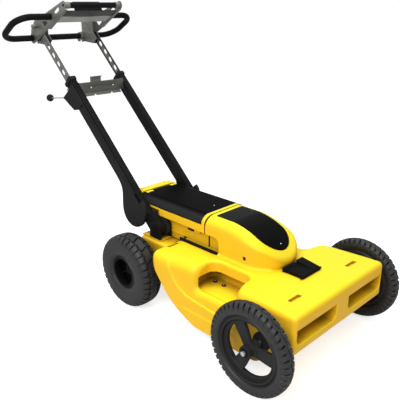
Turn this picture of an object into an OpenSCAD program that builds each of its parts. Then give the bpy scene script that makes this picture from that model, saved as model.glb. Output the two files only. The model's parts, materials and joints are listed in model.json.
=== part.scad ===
// Ground penetrating radar cart: a low moulded body that carries the antenna between four wheels,
// an electronics console on its deck, and a folding, telescopic push handle with a tablet tray.
// Lengths are in millimetres. The cart faces -Y and stands on z = 0; the operator's right is -X.

/* [Wheels] */
// Radius of the front wheels over the tread
front_wheel_r = 158; // [150:1:162]
// Width of the front tyres
front_tyre_w = 50; // [44:1:54]
// Gap between the side of the body and a front tyre
front_wheel_gap = 35; // [30:1:50]
// Radius of the front rims at the tyre seat
front_rim_r = 112; // [105:1:120]
// Radius of the rear wheels over the tread
rear_wheel_r = 150; // [140:1:155]
// Width of the rear tyres
rear_tyre_w = 94; // [86:1:98]
// Distance from the centre line to the middle of a rear wheel
rear_track_half = 252; // [252:1:262]
// Radius of the rear rims at the tyre seat
rear_rim_r = 62; // [58:1:68]
// Distance between the front and rear axles
wheelbase = 695; // [690:1:705]
// Radius of the front axle
front_axle_r = 8; // [7:0.5:9]
// Radius of the rear axle
rear_axle_r = 10; // [9:0.5:11]

/* [Body] */
// Height of the deck above the ground
deck_z = 289; // [286:1:294]
// Half width of the body over its side fairings
body_half_w = 270; // [264:1:274]
// Reach of the front face ahead of the front axle
nose_reach = 120; // [114:1:126]
// Height of the lower edge of the front face
nose_bottom_z = 160; // [154:1:168]
// Distance from the rear edge of the deck back to the rear axle
deck_lead = 139; // [135:1:145]
// Height of the lower edge of the skirts
skirt_z = 62; // [55:1:70]
// Wall thickness of the moulded shell
shell_t = 5; // [4:0.5:6]
// Radius along the long edges of the deck
deck_edge_r = 45; // [35:1:50]
// Half width of the tail between the rear wheels
tail_half_w = 165; // [162:1:170]
// Reach of the tail behind the rear axle
tail_reach = 40; // [35:1:50]
// Height of the top of the tail
tail_top_z = 262; // [258:1:265]
// Height of the skid plate above the ground
skid_z = 30; // [25:1:35]

/* [Console] */
// Half width of the console and its lid
console_half_w = 115; // [113:0.5:115.5]
// Height of the console's top face
console_top_z = 419; // [414:1:424]
// Height of the lid's lower edge
lid_z = 384; // [382:1:386]
// Height of the lower edge of the console's side band
band_z = 350; // [348:1:353]
// Half width of the narrower neck under the band
neck_half_w = 88; // [84:1:89]
// Distance from the front axle back to the seam between bonnet and console
seam_y = 415; // [410:1:420]
// Distance from the front axle back to the console's rear end
console_rear_y = 850; // [845:1:860]
// Distance from the front axle back to the bonnet's front tip
bonnet_tip_y = 98; // [94:1:102]
// Radius of the curve that runs down over the bonnet
bonnet_arc_r = 320; // [300:5:340]

/* [Arms] */
// Distance from the fold hinge back to the rear axle
pivot_lead = 40; // [35:1:43]
// Height of the fold hinge
pivot_z = 310; // [308:1:312]
// Lean of the arms from upright, in degrees
arm_lean = 45.9; // [42:0.1:48]
// Distance from the centre line to the inner face of an arm
arm_inner_x = 118; // [117:0.5:120]
// Width of an arm across the cart
arm_w = 28; // [27:0.5:30]
// Depth of an arm fore and aft
arm_d = 48; // [46:1:52]
// Length of an arm above the fold hinge
arm_l = 770; // [760:1:780]
// Wall thickness of the arm tubes
arm_t = 3; // [2:0.5:3]
// Radius of the fold hinge pins
pin_r = 8; // [7:0.5:9]
// Outer radius of the toothed hinge discs
disc_r = 36; // [34:0.5:36]

/* [Handle] */
// Length of a slotted strip
strip_l = 520; // [505:1:530]
// Height of a strip's top end above the fold hinge, along the arm
strip_top_s = 1040; // [1035:1:1045]
// Thickness of the strips
strip_t = 3; // [2.5:0.5:3]
// Distance from the fold hinge back to the rear handlebar
bar_back = 841; // [835:1:845]
// Height of the rear handlebar above the fold hinge
bar_up = 701; // [698:1:704]
// Radius of the handlebar tube
bar_r = 13.5; // [12.5:0.5:14]
// Half width of the handlebar loop on its centre line
loop_half_w = 304; // [290:1:315]
// Depth of the handlebar loop on its centre line
loop_d = 196; // [190:1:205]
// Bend radius of the handlebar loop
loop_bend_r = 70; // [60:1:75]
// Upward tilt of the loop towards the front, in degrees
loop_tilt = 29.6; // [28:0.1:31]
// Distance from the centre line to the outer face of a side plate
plate_x = 147; // [147:0.5:150]
// Distance along the loop from the rear bar to the top bar of the tablet tray
tray_reach = 315; // [305:1:320]
// Radius of the tablet tray's top bar
top_bar_r = 12.3; // [11:0.1:13]

/* [Fits] */
// Radial clearance of running fits
run_gap = 0.05; // [0.03:0.01:0.1]
// Gap between parts that pass or rest on each other
pass_gap = 0.3; // [0.2:0.05:0.4]
// Radial clearance of parts that are pressed or clamped together
seat_gap = 0.02; // [0.01:0.01:0.04]

/* [Hidden] */
$fn = 64;
overrun = 2;
front_axle_z = front_wheel_r;
rear_axle_z = rear_wheel_r;
front_track_half = body_half_w + front_wheel_gap + front_tyre_w / 2;
deck_rear_y = wheelbase - deck_lead;
tail_end_y = wheelbase + tail_reach;
pivot_y = wheelbase - pivot_lead;
bar_y = pivot_y + bar_back;
bar_z = pivot_z + bar_up;
plate_margin = 24;
length_back = bar_y + plate_margin;
shift_y = -(length_back - front_wheel_r) / 2;
arm_outer_x = arm_inner_x + arm_w;

// Wheels
tyre_shoulder_share = 0.32;
front_rim_inner_r = 91;
front_bed_t = 8;
front_flange_t = 16;
front_rim_w = 40;
front_spoke_w = 44;
front_spoke_t = 14;
front_spoke_count = 3;
front_spoke_angle = 30;
spoke_root_r = 18;
front_hub_r = 21;
front_hub_in = 26;
front_hub_out = 29.7;
front_bearing_r = 16;
bearing_w = 12;
washer_r = 15;
washer_t = 2;
bolt_head_r = 9;
bolt_head_t = 6;
rear_rim_w = 80;
rear_rim_ring_t = 8;
rear_hub_r = 26;
rear_hub_in = 50;
rear_hub_out = 6;
rear_bearing_r = 19;
rear_web_t = 8;
rear_rib_t = 9;
rear_rib_out = 12;
rear_nut_r = 14;
rear_nut_t = 8;
groove_w = 5;
groove_d = 3;
encoder_r = 40;
encoder_t = 3;
encoder_hole_r = 12;
encoder_window_count = 24;
encoder_window_r = 2;
encoder_window_ring_r = 34;
sensor_w = 22;
sensor_h = 18;
sensor_gap = 1;

// Body
nose_edge_r = 18;
corner_r = 40;
nose_corner_r = 18;
arch_top_z = 240;
arch_run = 168;
arch_foot_y = deck_rear_y - arch_run;
belly_y = 30;
arch_shares = [[0.643, 0.444], [0.095, 0.05], [-0.16, 0]];
window_in_x = 36;
window_out_x = 256;
window_low_z = 188;
window_high_z = 242;
window_r = 22;
window_d = 60;
pocket_in_x = 152;
pocket_front_y = 140;
pocket_rear_y = 325;
pocket_floor_z = 196;
pocket_r = 35;
pocket_under = 45;
pocket_lip_z = 246;
pocket_close_x = 232;
trough_out_x = 122;
slot_l = 58;
slot_w = 15;
slot_d = 12;
slot_x = 169;
front_slot_y = -43;
rear_slot_lead = 29;
rear_slot_y = deck_rear_y - rear_slot_lead;
tail_bottom_z = 112;
tail_overlap = 8;
tail_front_y = arch_foot_y - tail_overlap;
boss_r = 32;
boss_t = 12;
antenna_half_w = 195;
antenna_front_y = 45;
antenna_rear_gap = 16;
antenna_rear_y = arch_foot_y - antenna_rear_gap;
antenna_top_z = 140;
antenna_t = 4;
skid_t = 6;
skid_margin = 12;
socket_r = 6;
socket_l = 6;
socket_flange_r = 8.5;
socket_flange_t = 1.5;
socket_x = 147;
socket_first_y = 281;
socket_pitch = 43;

// Deck latch
latch_half_w = 54;
latch_rear_y = 94;
latch_t = 11;
latch_pin_r = 3;
latch_pin_y = 12;
latch_ear_w = 6;
latch_ear_gap = 0.5;
wedge_in_x = 15;
wedge_rear_y = 88;
wedge_h = 23;
latch_r = (latch_t - pass_gap) / 2;
latch_pin_z = deck_z + latch_t - latch_r;

// Console
chamfer_w = 25;
chamfer_h = 20;
console_t = 4;
arch_t = 16;
seam_gap = 4;
lid_gap = 1;
band_step_y = 675;
band_step_z = 374;
neck_rear_y = 800;
neck_front_y = 342;
recess_r = 25;
lid_axis_y = 785;
trim_gap = 0.7;
knuckle_in_x = 48;
knuckle_out_x = 84;
knuckle_gap = 0.5;
lid_pin_r = 4;
lid_pin_over = 10;
lid_solid_y = 760;
dimple_r = 12;
dimple_d = 4;
dimple_x = 66;
dimple_y = 831;
battery_half_w = 78;
battery_front_y = 562;
battery_rear_y = 782;
battery_h = 78;
control_front_y = 436;
control_rear_y = 548;
control_h = 74;
catch_front_y = 487;
catch_l = 34;
catch_h = 16;
catch_t = 10;
catch_drop = 3;
guide_l = 32;

// Bonnet
arc_centre_y = 330;
arc_drop = 1;
window_half_w = 73;
window_rear_y = 392;
window_tip_y = 126;
window_t = 2.7;
window_proud = 0.4;
screw_y = 216;
screw_z = 315;
screw_head_r = 6;
screw_head_t = 3;
screw_shank_r = 3;
screw_recess_r = 8;
screw_recess_d = 4;

// Fold hinge
bracket_in_x = 92;
ear_t = 5;
outer_ear_gap = 2;
ear_r = 32;
base_t = 6;
base_front = 34;
base_rear = 78;
lug_r = 30;
disc_in_x = 99;
disc_boss_r = 16;
disc_tooth_count = 24;
disc_tooth_d = 5;
pin_over = 3;
pawl_w = 13;
pawl_h = 10;
pawl_l = 26;
pawl_tip_gap = 0.5;
post_l = 14;
post_gap = 9;

// Arms
arm_front_n = -4;
tube_start_s = 62;
lug_block_front_n = -24;
cover_t = 8;
cover_front_n = 16;
cover_rear_n = 46;
lobe_r = 70;
lobe_n = 58;
lobe_s = 122;
lobe_t = 14;
cable_r = 2.5;
cable_first_n = 4.5;
cable_pitch = 6.5;
crossbar_drop = 47;
crossbar_s = arm_l - crossbar_drop;
crossbar_n = 5;
crossbar_h = 48;
crossbar_t = 3;
lip_l = 14;
tab_w = 22;
notch_w = 10;
notch_x = 45;
accessory_hole_r = 3.3;
accessory_x = 60;
hook_x = -62;
hook_w = 56;
hook_h = 24;
hook_t = 3;
hook_return = 9;
tab_screw_r = 4.5;
tab_screw_t = 3;
tab_screw_offset = 12;
collar_t = 3;
collar_l = 18;
collar_slip = 0.4;
housing_drop = 128;
housing_low_s = arm_l - housing_drop;
housing_mid_l = 22;
housing_mid_s = housing_low_s + housing_mid_l;
housing_l = 105;
housing_high_s = housing_low_s + housing_l;
housing_tip_l = 8;
housing_tip_s = housing_high_s + housing_tip_l;
cover_top_gap = 2;
cover_top_s = housing_low_s - cover_top_gap;
cable_top_s = housing_low_s - pass_gap;
housing_mid_n = 74;
housing_tip_n = 99;
lever_drop = 14;
lever_s = housing_high_s - lever_drop;
lever_n = 76;
lever_boss_r = 9;
lever_slot_w = 8;
lever_slot_n = 60;
lever_slot_l = 15;
lever_slot_s = lever_s - lever_slot_l;
lever_pin_r = 3;
lever_w = 7.4;
rod_r = 3.2;
rod_l = 183;
rod_angle = 39;
knob_r = 17;
plunger_drop = 8;
plunger_s = arm_l - plunger_drop;
plunger_pin_r = 3;
plunger_knob_r = 7;
plunger_knob_l = 16;
plunger_sleeve_gap = 3;

// Handle
strip_out_gap = 1;
strip_w = 20;
strip_front_n = 2;
strip_d = 36;
slot_pitch = 49.7;
first_slot_s = 980.8;
strip_slot_l = 28;
strip_slot_w = 16;
strip_edge_w = 7;
strip_foot_l = 60;
strip_slot_count = 5;
strip_hole_r = 4;
strip_hole_s = 1018;
quadrant_foot_s = 1002;
quadrant_t = 3;
quadrant_hole_r = 2.6;
quadrant_arc_r = 72;
quadrant_hole_count = 6;
quadrant_pitch = 8.8;
quadrant_first_angle = 116;
plunger_index = 2;
saddle_t = 5;
saddle_w = 16;
saddle_half_l = 24;
saddle_nut_r = 6.5;
saddle_nut_l = 8;
saddle_nut_y = 16;
bar_wall = 2.5;
plate_t = 3;
flange_w = 14;
flange_start_v = 150;
flange_w_pos = -32;
plate_rear_v = 23;
plate_low_w = -24;
plate_rear_shares = [0.17, 0.16];
plate_top_v = 62;
plate_top_w = 54;
plate_mid_v = 160;
plate_mid_w = 33;
plate_tip_r = 18;
tray_bar_w = -14;
tri_v_shares = [0.35, 0.53, 0.39];
tri_w_shares = [1, -0.25, -0.5];
slat_t = 3;
front_slat_w = 48;
front_slat_v = 300;
rear_slat_w = 45;
rear_slat_v = 247;
jaw_half_w = 70;
jaw_t = 8;
jaw_v = 281;
jaw_top_w = 23;
cap_l = 28;
cap_over = 1.5;
tilt_knob_r = 10;
tilt_knob_l = 14;
tilt_sleeve_r = 6;
tilt_sleeve_l = 12;
tilt_pin_r = 2.3;

// Shared shapes

module place() translate([0, shift_y, 0]) children();

module on_right() mirror([1, 0, 0]) children();

module both_sides() {
  children();
  on_right() children();
}

module slab(x0, x1, y0, y1, z0, z1) translate([x0, y0, z0]) cube([x1 - x0, y1 - y0, z1 - z0]);

module rod_x(r, x0, x1) translate([x0, 0, 0]) rotate([0, 90, 0]) cylinder(r = r, h = x1 - x0);

// Extrudes an outline drawn in (y, z) from x0 to x1
module extrude_x(x0, x1) translate([x0, 0, 0]) rotate([90, 0, 90]) linear_extrude(height = x1 - x0)
  children();

// Extrudes an outline drawn in (x, z) from y0 to y1
module extrude_y(y0, y1) translate([0, y1, 0]) rotate([90, 0, 0]) linear_extrude(height = y1 - y0)
  children();

// Rectangle with exact round corners, from (x0, y0) to (x1, y1)
module round_rect(x0, x1, y0, y1, r) {
  translate([x0 + r, y0]) square([x1 - x0 - 2 * r, y1 - y0]);
  translate([x0, y0 + r]) square([x1 - x0, y1 - y0 - 2 * r]);
  for (x = [x0 + r, x1 - r], y = [y0 + r, y1 - r]) translate([x, y]) circle(r);
}

// Slot with round ends along x, centred on the origin
module slot_outline(l, w) {
  translate([-(l - w) / 2, -w / 2]) square([l - w, w]);
  for (s = [-1, 1]) translate([s * (l - w) / 2, 0]) circle(w / 2);
}

module arm_frame() translate([0, pivot_y, pivot_z]) rotate([-arm_lean, 0, 0]) children();

module handle_frame() translate([0, bar_y, bar_z]) rotate([-loop_tilt, 0, 0]) children();

// Wheels

module wheel_place(side, track, y, z) translate([side * track, y, z]) rotate([0, 90 * side, 0]) children();

module tyre(r, w, inner_r) {
  shoulder = w * tyre_shoulder_share;
  difference() {
    rotate_extrude() round_rect(inner_r + seat_gap, r, -w / 2, w / 2, shoulder);
    for (z = [-w / 6, w / 6]) translate([0, 0, z]) rotate_extrude()
      translate([r - groove_d, -groove_w / 2]) square([groove_d + overrun, groove_w]);
  }
}

module front_rim() {
  color("dimgray") difference() {
    union() {
      rotate_extrude() {
        translate([front_rim_r - front_bed_t, -front_rim_w / 2]) square([front_bed_t, front_rim_w]);
        translate([front_rim_inner_r, -front_flange_t / 2])
          square([front_rim_r - front_rim_inner_r, front_flange_t]);
      }
      translate([0, 0, -front_hub_in]) cylinder(r = front_hub_r, h = front_hub_in + front_hub_out);
      for (i = [0 : front_spoke_count - 1]) rotate([0, 0, front_spoke_angle + i * 360 / front_spoke_count])
        slab(spoke_root_r, front_rim_inner_r + overrun, -front_spoke_w / 2, front_spoke_w / 2,
             -front_spoke_t / 2, front_spoke_t / 2);
    }
    translate([0, 0, -front_hub_in - overrun])
      cylinder(r = front_bearing_r + run_gap, h = front_hub_in + front_hub_out + 2 * overrun);
  }
}

module rear_rim() {
  color("black") difference() {
    union() {
      rotate_extrude() translate([rear_rim_r - rear_rim_ring_t, -rear_rim_w / 2])
        square([rear_rim_ring_t, rear_rim_w]);
      translate([0, 0, -rear_hub_in]) cylinder(r = rear_hub_r, h = rear_hub_in + rear_hub_out);
      translate([0, 0, -rear_web_t / 2]) cylinder(r = rear_rim_r - rear_rim_ring_t / 2, h = rear_web_t);
      for (i = [0 : front_spoke_count - 1]) rotate([0, 0, i * 360 / front_spoke_count])
        slab((rear_bearing_r + rear_hub_r) / 2, rear_rim_r - rear_rim_ring_t / 2,
          -rear_rib_t / 2, rear_rib_t / 2, 0, rear_rib_out);
    }
    translate([0, 0, -rear_hub_in - overrun])
      cylinder(r = rear_bearing_r + run_gap, h = rear_hub_in + rear_hub_out + 2 * overrun);
  }
}

module front_wheel_place(side) place() wheel_place(side, front_track_half, 0, front_axle_z) children();

module rear_wheel_place(side) place() wheel_place(side, rear_track_half, wheelbase, rear_axle_z) children();

module front_right_rim() front_wheel_place(-1) front_rim();
module front_left_rim() front_wheel_place(1) front_rim();
module rear_right_rim() rear_wheel_place(-1) rear_rim();
module rear_left_rim() rear_wheel_place(1) rear_rim();
module front_right_tyre() color("#2b2b2b") front_wheel_place(-1)
  tyre(front_wheel_r, front_tyre_w, front_rim_r);
module front_left_tyre() color("#2b2b2b") front_wheel_place(1)
  tyre(front_wheel_r, front_tyre_w, front_rim_r);
module rear_right_tyre() color("#2b2b2b") rear_wheel_place(-1) tyre(rear_wheel_r, rear_tyre_w, rear_rim_r);
module rear_left_tyre() color("#2b2b2b") rear_wheel_place(1) tyre(rear_wheel_r, rear_tyre_w, rear_rim_r);

module bearing(outer_r, shaft_r) {
  difference() {
    cylinder(r = outer_r, h = bearing_w);
    translate([0, 0, -overrun]) cylinder(r = shaft_r + seat_gap, h = bearing_w + 2 * overrun);
  }
}

module front_axle() color("silver") place() translate([0, 0, front_axle_z])
  rod_x(front_axle_r, -front_track_half - front_hub_out - pass_gap,
    front_track_half + front_hub_out + pass_gap);

module front_bearings() color("silver") for (side = [-1, 1], z = [-front_hub_in, front_hub_out - bearing_w])
  front_wheel_place(side) translate([0, 0, z]) bearing(front_bearing_r, front_axle_r);

module front_hub_bolts() color("silver") for (side = [-1, 1]) front_wheel_place(side)
  translate([0, 0, front_hub_out + pass_gap]) {
    cylinder(r = washer_r, h = washer_t);
    translate([0, 0, washer_t]) cylinder(r = bolt_head_r, h = bolt_head_t, $fn = 6);
  }

module rear_axle() color("silver") place() translate([0, wheelbase, rear_axle_z]) {
  reach = rear_track_half + rear_hub_out + pass_gap;
  rod_x(rear_axle_r, -reach, reach);
  both_sides() rod_x(rear_nut_r, reach, reach + rear_nut_t);
}

module rear_bearings() color("silver") for (side = [-1, 1], z = [-rear_hub_in, rear_hub_out - bearing_w])
  rear_wheel_place(side) translate([0, 0, z]) bearing(rear_bearing_r, rear_axle_r);

module encoder_disc() color("gray") rear_wheel_place(1) translate([0, 0, -rear_hub_in - encoder_t])
  difference() {
  cylinder(r = encoder_r, h = encoder_t);
  translate([0, 0, -overrun]) cylinder(r = encoder_hole_r, h = encoder_t + 2 * overrun);
  for (i = [0 : encoder_window_count - 1]) rotate([0, 0, i * 360 / encoder_window_count])
    translate([encoder_window_ring_r, 0, -overrun])
      cylinder(r = encoder_window_r, h = encoder_t + 2 * overrun, $fn = 16);
}

module encoder_sensor() color("black") place()
  slab(tail_half_w, rear_track_half - rear_hub_in - encoder_t - sensor_gap,
       wheelbase - sensor_w / 2, wheelbase + sensor_w / 2,
       rear_axle_z + encoder_window_ring_r - sensor_h / 2,
       rear_axle_z + encoder_window_ring_r + sensor_h / 2);

// Body

// Cross section of the body in (x, z), t inside the outer face and open below
module body_section(t) {
  r = deck_edge_r - t;
  half = body_half_w - t;
  top = deck_z - t;
  low = t > 0 ? skirt_z - overrun : skirt_z;
  translate([-half, low]) square([2 * half, top - r - low]);
  translate([-half + r, low]) square([2 * half - 2 * r, top - low]);
  for (s = [-1, 1]) translate([s * (half - r), top - r]) circle(r);
}

// Side view of the body in (y, z), t inside the outer face and d behind the front face
module body_side(t, d) {
  front = -nose_reach + d;
  low = t > 0 ? skirt_z - overrun : skirt_z;
  top = deck_z - t;
  r = nose_edge_r;
  polygon([[front, nose_bottom_z], [front, top - r], [front + r, top], [deck_rear_y - t, top],
           [deck_rear_y - t, arch_top_z],
           for (p = arch_shares) [arch_foot_y - t + p[0] * arch_run, low + p[1] * (arch_top_z - low)],
           [belly_y + 2 * t, low]]);
  translate([front + r, top - r]) circle(r);
}

// Plan of the body, with tighter corners at the nose than at the rear
module body_plan(t, d) intersection() {
  half = body_half_w - t;
  round_rect(-half, half, -nose_reach + d, deck_rear_y + 2 * corner_r, nose_corner_r - t);
  round_rect(-half, half, -nose_reach - 2 * corner_r, deck_rear_y - t, corner_r - t);
}

module body_block(t, d) intersection() {
  extrude_y(-nose_reach - overrun, deck_rear_y + overrun) body_section(t);
  extrude_x(-body_half_w - overrun, body_half_w + overrun) body_side(t, d);
  translate([0, 0, skirt_z - 2 * overrun]) linear_extrude(height = deck_z)
    body_plan(t, d);
}

// Side pocket grown by t on its inner, front, rear and lower sides; below its lip it runs in under the deck
module pocket(t) translate([0, 0, pocket_floor_z - t]) {
  linear_extrude(height = deck_z) round_rect(pocket_in_x - t, body_half_w + 2 * pocket_r,
    pocket_front_y - t, pocket_rear_y + t, pocket_r);
  linear_extrude(height = pocket_lip_z - pocket_floor_z + 2 * t)
    round_rect(pocket_in_x - pocket_under - t, pocket_close_x + t,
      pocket_front_y - t, pocket_rear_y + pocket_under + t, pocket_r);
}

// Trough beside the console's neck, level with the tail's top and grown by t
module trough(t) slab(neck_half_w - t, trough_out_x + t, neck_front_y - t, deck_rear_y + overrun,
  tail_top_z - t, deck_z + overrun);

// Opening in the nose for the fingers of one hand, with round lower corners
module nose_window() extrude_y(-nose_reach - overrun, -nose_reach + window_d) {
  mid_z = (window_low_z + window_high_z) / 2;
  round_rect(window_in_x, window_out_x, window_low_z, window_high_z, window_r);
  translate([window_in_x, mid_z]) square([window_out_x - window_in_x, window_high_z - mid_z]);
}

module deck_slot(x, y) translate([x, y, deck_z - slot_d]) linear_extrude(height = slot_d + overrun)
  slot_outline(slot_l, slot_w);

module latch_ear() difference() {
  slab(latch_half_w + latch_ear_gap, latch_half_w + latch_ear_gap + latch_ear_w,
       latch_pin_y - latch_r, latch_pin_y + latch_r, deck_z, deck_z + latch_t);
  translate([0, latch_pin_y, latch_pin_z])
    rod_x(latch_pin_r + seat_gap, latch_half_w, latch_half_w + 2 * latch_ear_w);
}

module chassis_shell() color("gold") place() {
  difference() {
    union() {
      body_block(0, 0);
      slab(-tail_half_w, tail_half_w, tail_front_y, tail_end_y, tail_bottom_z, tail_top_z);
    }
    difference() {
      body_block(shell_t, window_d + shell_t);
      both_sides() {
        pocket(shell_t);
        trough(shell_t);
      }
    }
    slab(-tail_half_w + shell_t, tail_half_w - shell_t, tail_front_y - overrun, tail_end_y - shell_t,
         tail_bottom_z - overrun, tail_top_z - shell_t);
    both_sides() {
      pocket(0);
      trough(0);
      deck_slot(slot_x, front_slot_y);
      deck_slot(slot_x, rear_slot_y);
      nose_window();
    }
    translate([0, 0, front_axle_z]) rod_x(front_axle_r + seat_gap, -2 * body_half_w, 2 * body_half_w);
    translate([0, wheelbase, rear_axle_z]) rod_x(rear_axle_r + seat_gap, -2 * body_half_w, 2 * body_half_w);
    on_right() for (y = [socket_first_y, socket_first_y + socket_pitch])
      translate([socket_x, y, pocket_floor_z - 2 * shell_t])
        cylinder(r = socket_r + seat_gap, h = 2 * shell_t + overrun);
  }
  both_sides() latch_ear();
}

module axle_bosses() color("black") place() both_sides() translate([0, 0, front_axle_z]) difference() {
  rod_x(boss_r, body_half_w, body_half_w + boss_t);
  rod_x(front_axle_r + seat_gap, body_half_w - overrun, body_half_w + boss_t + overrun);
}

// Antenna housing, open below where the skid plate closes it, with a flange to the shell's side walls
module antenna_box() color("dimgray") place() difference() {
  union() {
    slab(-antenna_half_w, antenna_half_w, antenna_front_y, antenna_rear_y, skid_z + skid_t, antenna_top_z);
    slab(-body_half_w + shell_t + pass_gap, body_half_w - shell_t - pass_gap,
         antenna_front_y, antenna_rear_y, antenna_top_z - antenna_t, antenna_top_z);
  }
  slab(-antenna_half_w + antenna_t, antenna_half_w - antenna_t,
       antenna_front_y + antenna_t, antenna_rear_y - antenna_t, skid_z, antenna_top_z - antenna_t);
}

module skid_plate() color("#202020") place() translate([0, 0, skid_z]) linear_extrude(height = skid_t)
  round_rect(-antenna_half_w - skid_margin, antenna_half_w + skid_margin,
             antenna_front_y - skid_margin, antenna_rear_y + skid_margin, skid_margin);

module pocket_sockets() color("#303030") place() on_right()
  for (y = [socket_first_y, socket_first_y + socket_pitch])
  translate([socket_x, y, pocket_floor_z]) {
  translate([0, 0, -shell_t]) cylinder(r = socket_r, h = shell_t + socket_flange_t);
  cylinder(r = socket_flange_r, h = socket_flange_t);
  difference() {
    cylinder(r = socket_r, h = socket_l);
    translate([0, 0, 2 * socket_flange_t]) cylinder(r = socket_r - socket_flange_t, h = 2 * socket_l);
  }
}

// Latch paddle in front of the bonnet, hinged along its front edge, with a raised wedge on its left half
module deck_latch() color("#141414") place() difference() {
  union() {
    slab(-latch_half_w, latch_half_w, latch_pin_y, latch_rear_y, deck_z + pass_gap, deck_z + latch_t);
    extrude_x(wedge_in_x, latch_half_w)
      polygon([[latch_pin_y, deck_z + latch_t], [wedge_rear_y, deck_z + latch_t],
               [wedge_rear_y, deck_z + wedge_h]]);
    translate([0, latch_pin_y, latch_pin_z]) rod_x(latch_r, -latch_half_w, latch_half_w);
  }
  translate([0, bonnet_tip_y + console_half_w, deck_z - overrun])
    cylinder(r = console_half_w + seam_gap / 2, h = wedge_h + 2 * overrun);
  translate([0, latch_pin_y, latch_pin_z])
    rod_x(latch_pin_r + run_gap, -latch_half_w - overrun, latch_half_w + overrun);
}

// Console

// Console outline in (x, z) from z0 up, with chamfered shoulders, t inside the outer face
module console_section(z0, t) {
  half = console_half_w - t;
  top = console_top_z - t;
  low = console_top_z - chamfer_h - t;
  polygon([[-half, z0], [half, z0], [half, low], [half - chamfer_w, top], [-half + chamfer_w, top],
    [-half, low]]);
}

module console_housing() color("gold") place() {
  difference() {
    union() {
      slab(-console_half_w, console_half_w, seam_y, band_step_y, band_z, lid_z);
      slab(-console_half_w, console_half_w, band_step_y - overrun, console_rear_y, band_step_z, lid_z);
      slab(-neck_half_w, neck_half_w, seam_y, neck_rear_y, deck_z, lid_z);
      slab(-neck_half_w, neck_half_w, deck_rear_y + pass_gap, tail_end_y, tail_top_z, deck_z + overrun);
      extrude_y(seam_y, seam_y + arch_t) console_section(band_z, 0);
    }
    slab(-neck_half_w + console_t, neck_half_w - console_t, seam_y + arch_t, neck_rear_y - console_t,
         deck_z + console_t, lid_z + overrun);
    slab(-console_half_w + console_t, console_half_w - console_t, seam_y + arch_t, band_step_y - console_t,
         band_z + console_t, lid_z + overrun);
  }
  on_right() slab(neck_half_w, neck_half_w + catch_t,
                  catch_front_y - guide_l - pass_gap, catch_front_y - pass_gap,
                  band_z - catch_drop - catch_h, band_z - catch_drop);
}

lid_mid_z = (lid_z + pass_gap + console_top_z) / 2;
lid_end_r = (console_top_z - lid_z - pass_gap) / 2;
trim_y = lid_axis_y + lid_end_r + trim_gap;

module battery_lid() color("#161616") place() difference() {
  intersection() {
    extrude_y(seam_y + arch_t + lid_gap, trim_y) console_section(lid_z + pass_gap, 0);
    extrude_x(-console_half_w - overrun, console_half_w + overrun) {
      translate([seam_y, lid_z + pass_gap]) square([lid_axis_y - seam_y, 2 * lid_end_r]);
      translate([lid_axis_y, lid_mid_z]) circle(lid_end_r);
    }
  }
  extrude_y(seam_y + arch_t + lid_gap + console_t, lid_solid_y) console_section(lid_z - overrun, console_t);
  translate([0, lid_axis_y, lid_mid_z]) both_sides() {
    rod_x(lid_end_r + knuckle_gap, knuckle_in_x - knuckle_gap, knuckle_out_x + knuckle_gap);
    rod_x(lid_pin_r + run_gap, knuckle_in_x - lid_pin_over - pass_gap,
      knuckle_out_x + lid_pin_over + pass_gap);
  }
}

module rear_trim() color("gold") place() difference() {
  union() {
    extrude_y(trim_y, console_rear_y) console_section(lid_z, 0);
    both_sides() {
      translate([0, lid_axis_y, lid_mid_z]) rod_x(lid_end_r, knuckle_in_x, knuckle_out_x);
      slab(knuckle_in_x, knuckle_out_x, lid_axis_y, trim_y + overrun, lid_mid_z - lid_end_r, lid_mid_z);
    }
  }
  both_sides() {
    translate([dimple_x, dimple_y, console_top_z - dimple_d])
      cylinder(r = dimple_r, h = dimple_d + overrun);
    translate([0, lid_axis_y, lid_mid_z])
      rod_x(lid_pin_r + seat_gap, knuckle_in_x - overrun, knuckle_out_x + overrun);
  }
}

// Pins of the lid hinge and of the deck latch
module cover_pins() color("silver") place() {
  both_sides() translate([0, lid_axis_y, lid_mid_z])
    rod_x(lid_pin_r, knuckle_in_x - lid_pin_over, knuckle_out_x + lid_pin_over);
  translate([0, latch_pin_y, latch_pin_z])
    rod_x(latch_pin_r, -latch_half_w - latch_ear_gap - latch_ear_w,
      latch_half_w + latch_ear_gap + latch_ear_w);
}

module battery_pack() color("#333333") place()
  slab(-battery_half_w, battery_half_w, battery_front_y, battery_rear_y,
       deck_z + console_t + pass_gap, deck_z + console_t + battery_h);

module control_unit() color("gray") place()
  slab(-battery_half_w, battery_half_w, control_front_y, control_rear_y,
       deck_z + console_t + pass_gap, deck_z + console_t + control_h);

// Sliding catch under the console's right band
module lid_catch() color("#161616") place() on_right()
  slab(neck_half_w + pass_gap, neck_half_w + catch_t, catch_front_y, catch_front_y + catch_l,
       band_z - catch_drop - catch_h, band_z - catch_drop);

// Bonnet

module bonnet_plan(t, rear) {
  r = console_half_w - t;
  translate([0, bonnet_tip_y + console_half_w]) circle(r);
  translate([-r, bonnet_tip_y + console_half_w]) square([2 * r, rear - bonnet_tip_y - console_half_w]);
}

// Side view of the bonnet in (y, z), with its top lowered by t
module bonnet_side(t) {
  r = bonnet_arc_r - t;
  centre_z = console_top_z + arc_drop - bonnet_arc_r;
  intersection() {
    union() {
      translate([arc_centre_y, centre_z]) circle(r, $fn = 128);
      translate([arc_centre_y, centre_z]) square([bonnet_arc_r, r]);
    }
    translate([0, deck_z - overrun]) square([seam_y + overrun, bonnet_arc_r]);
  }
}

module bonnet_block(t) intersection() {
  translate([0, 0, deck_z]) linear_extrude(height = console_top_z) bonnet_plan(t, seam_y - seam_gap - t);
  extrude_x(-console_half_w - overrun, console_half_w + overrun) bonnet_side(t);
  extrude_y(0, seam_y) console_section(deck_z, t);
}

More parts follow.
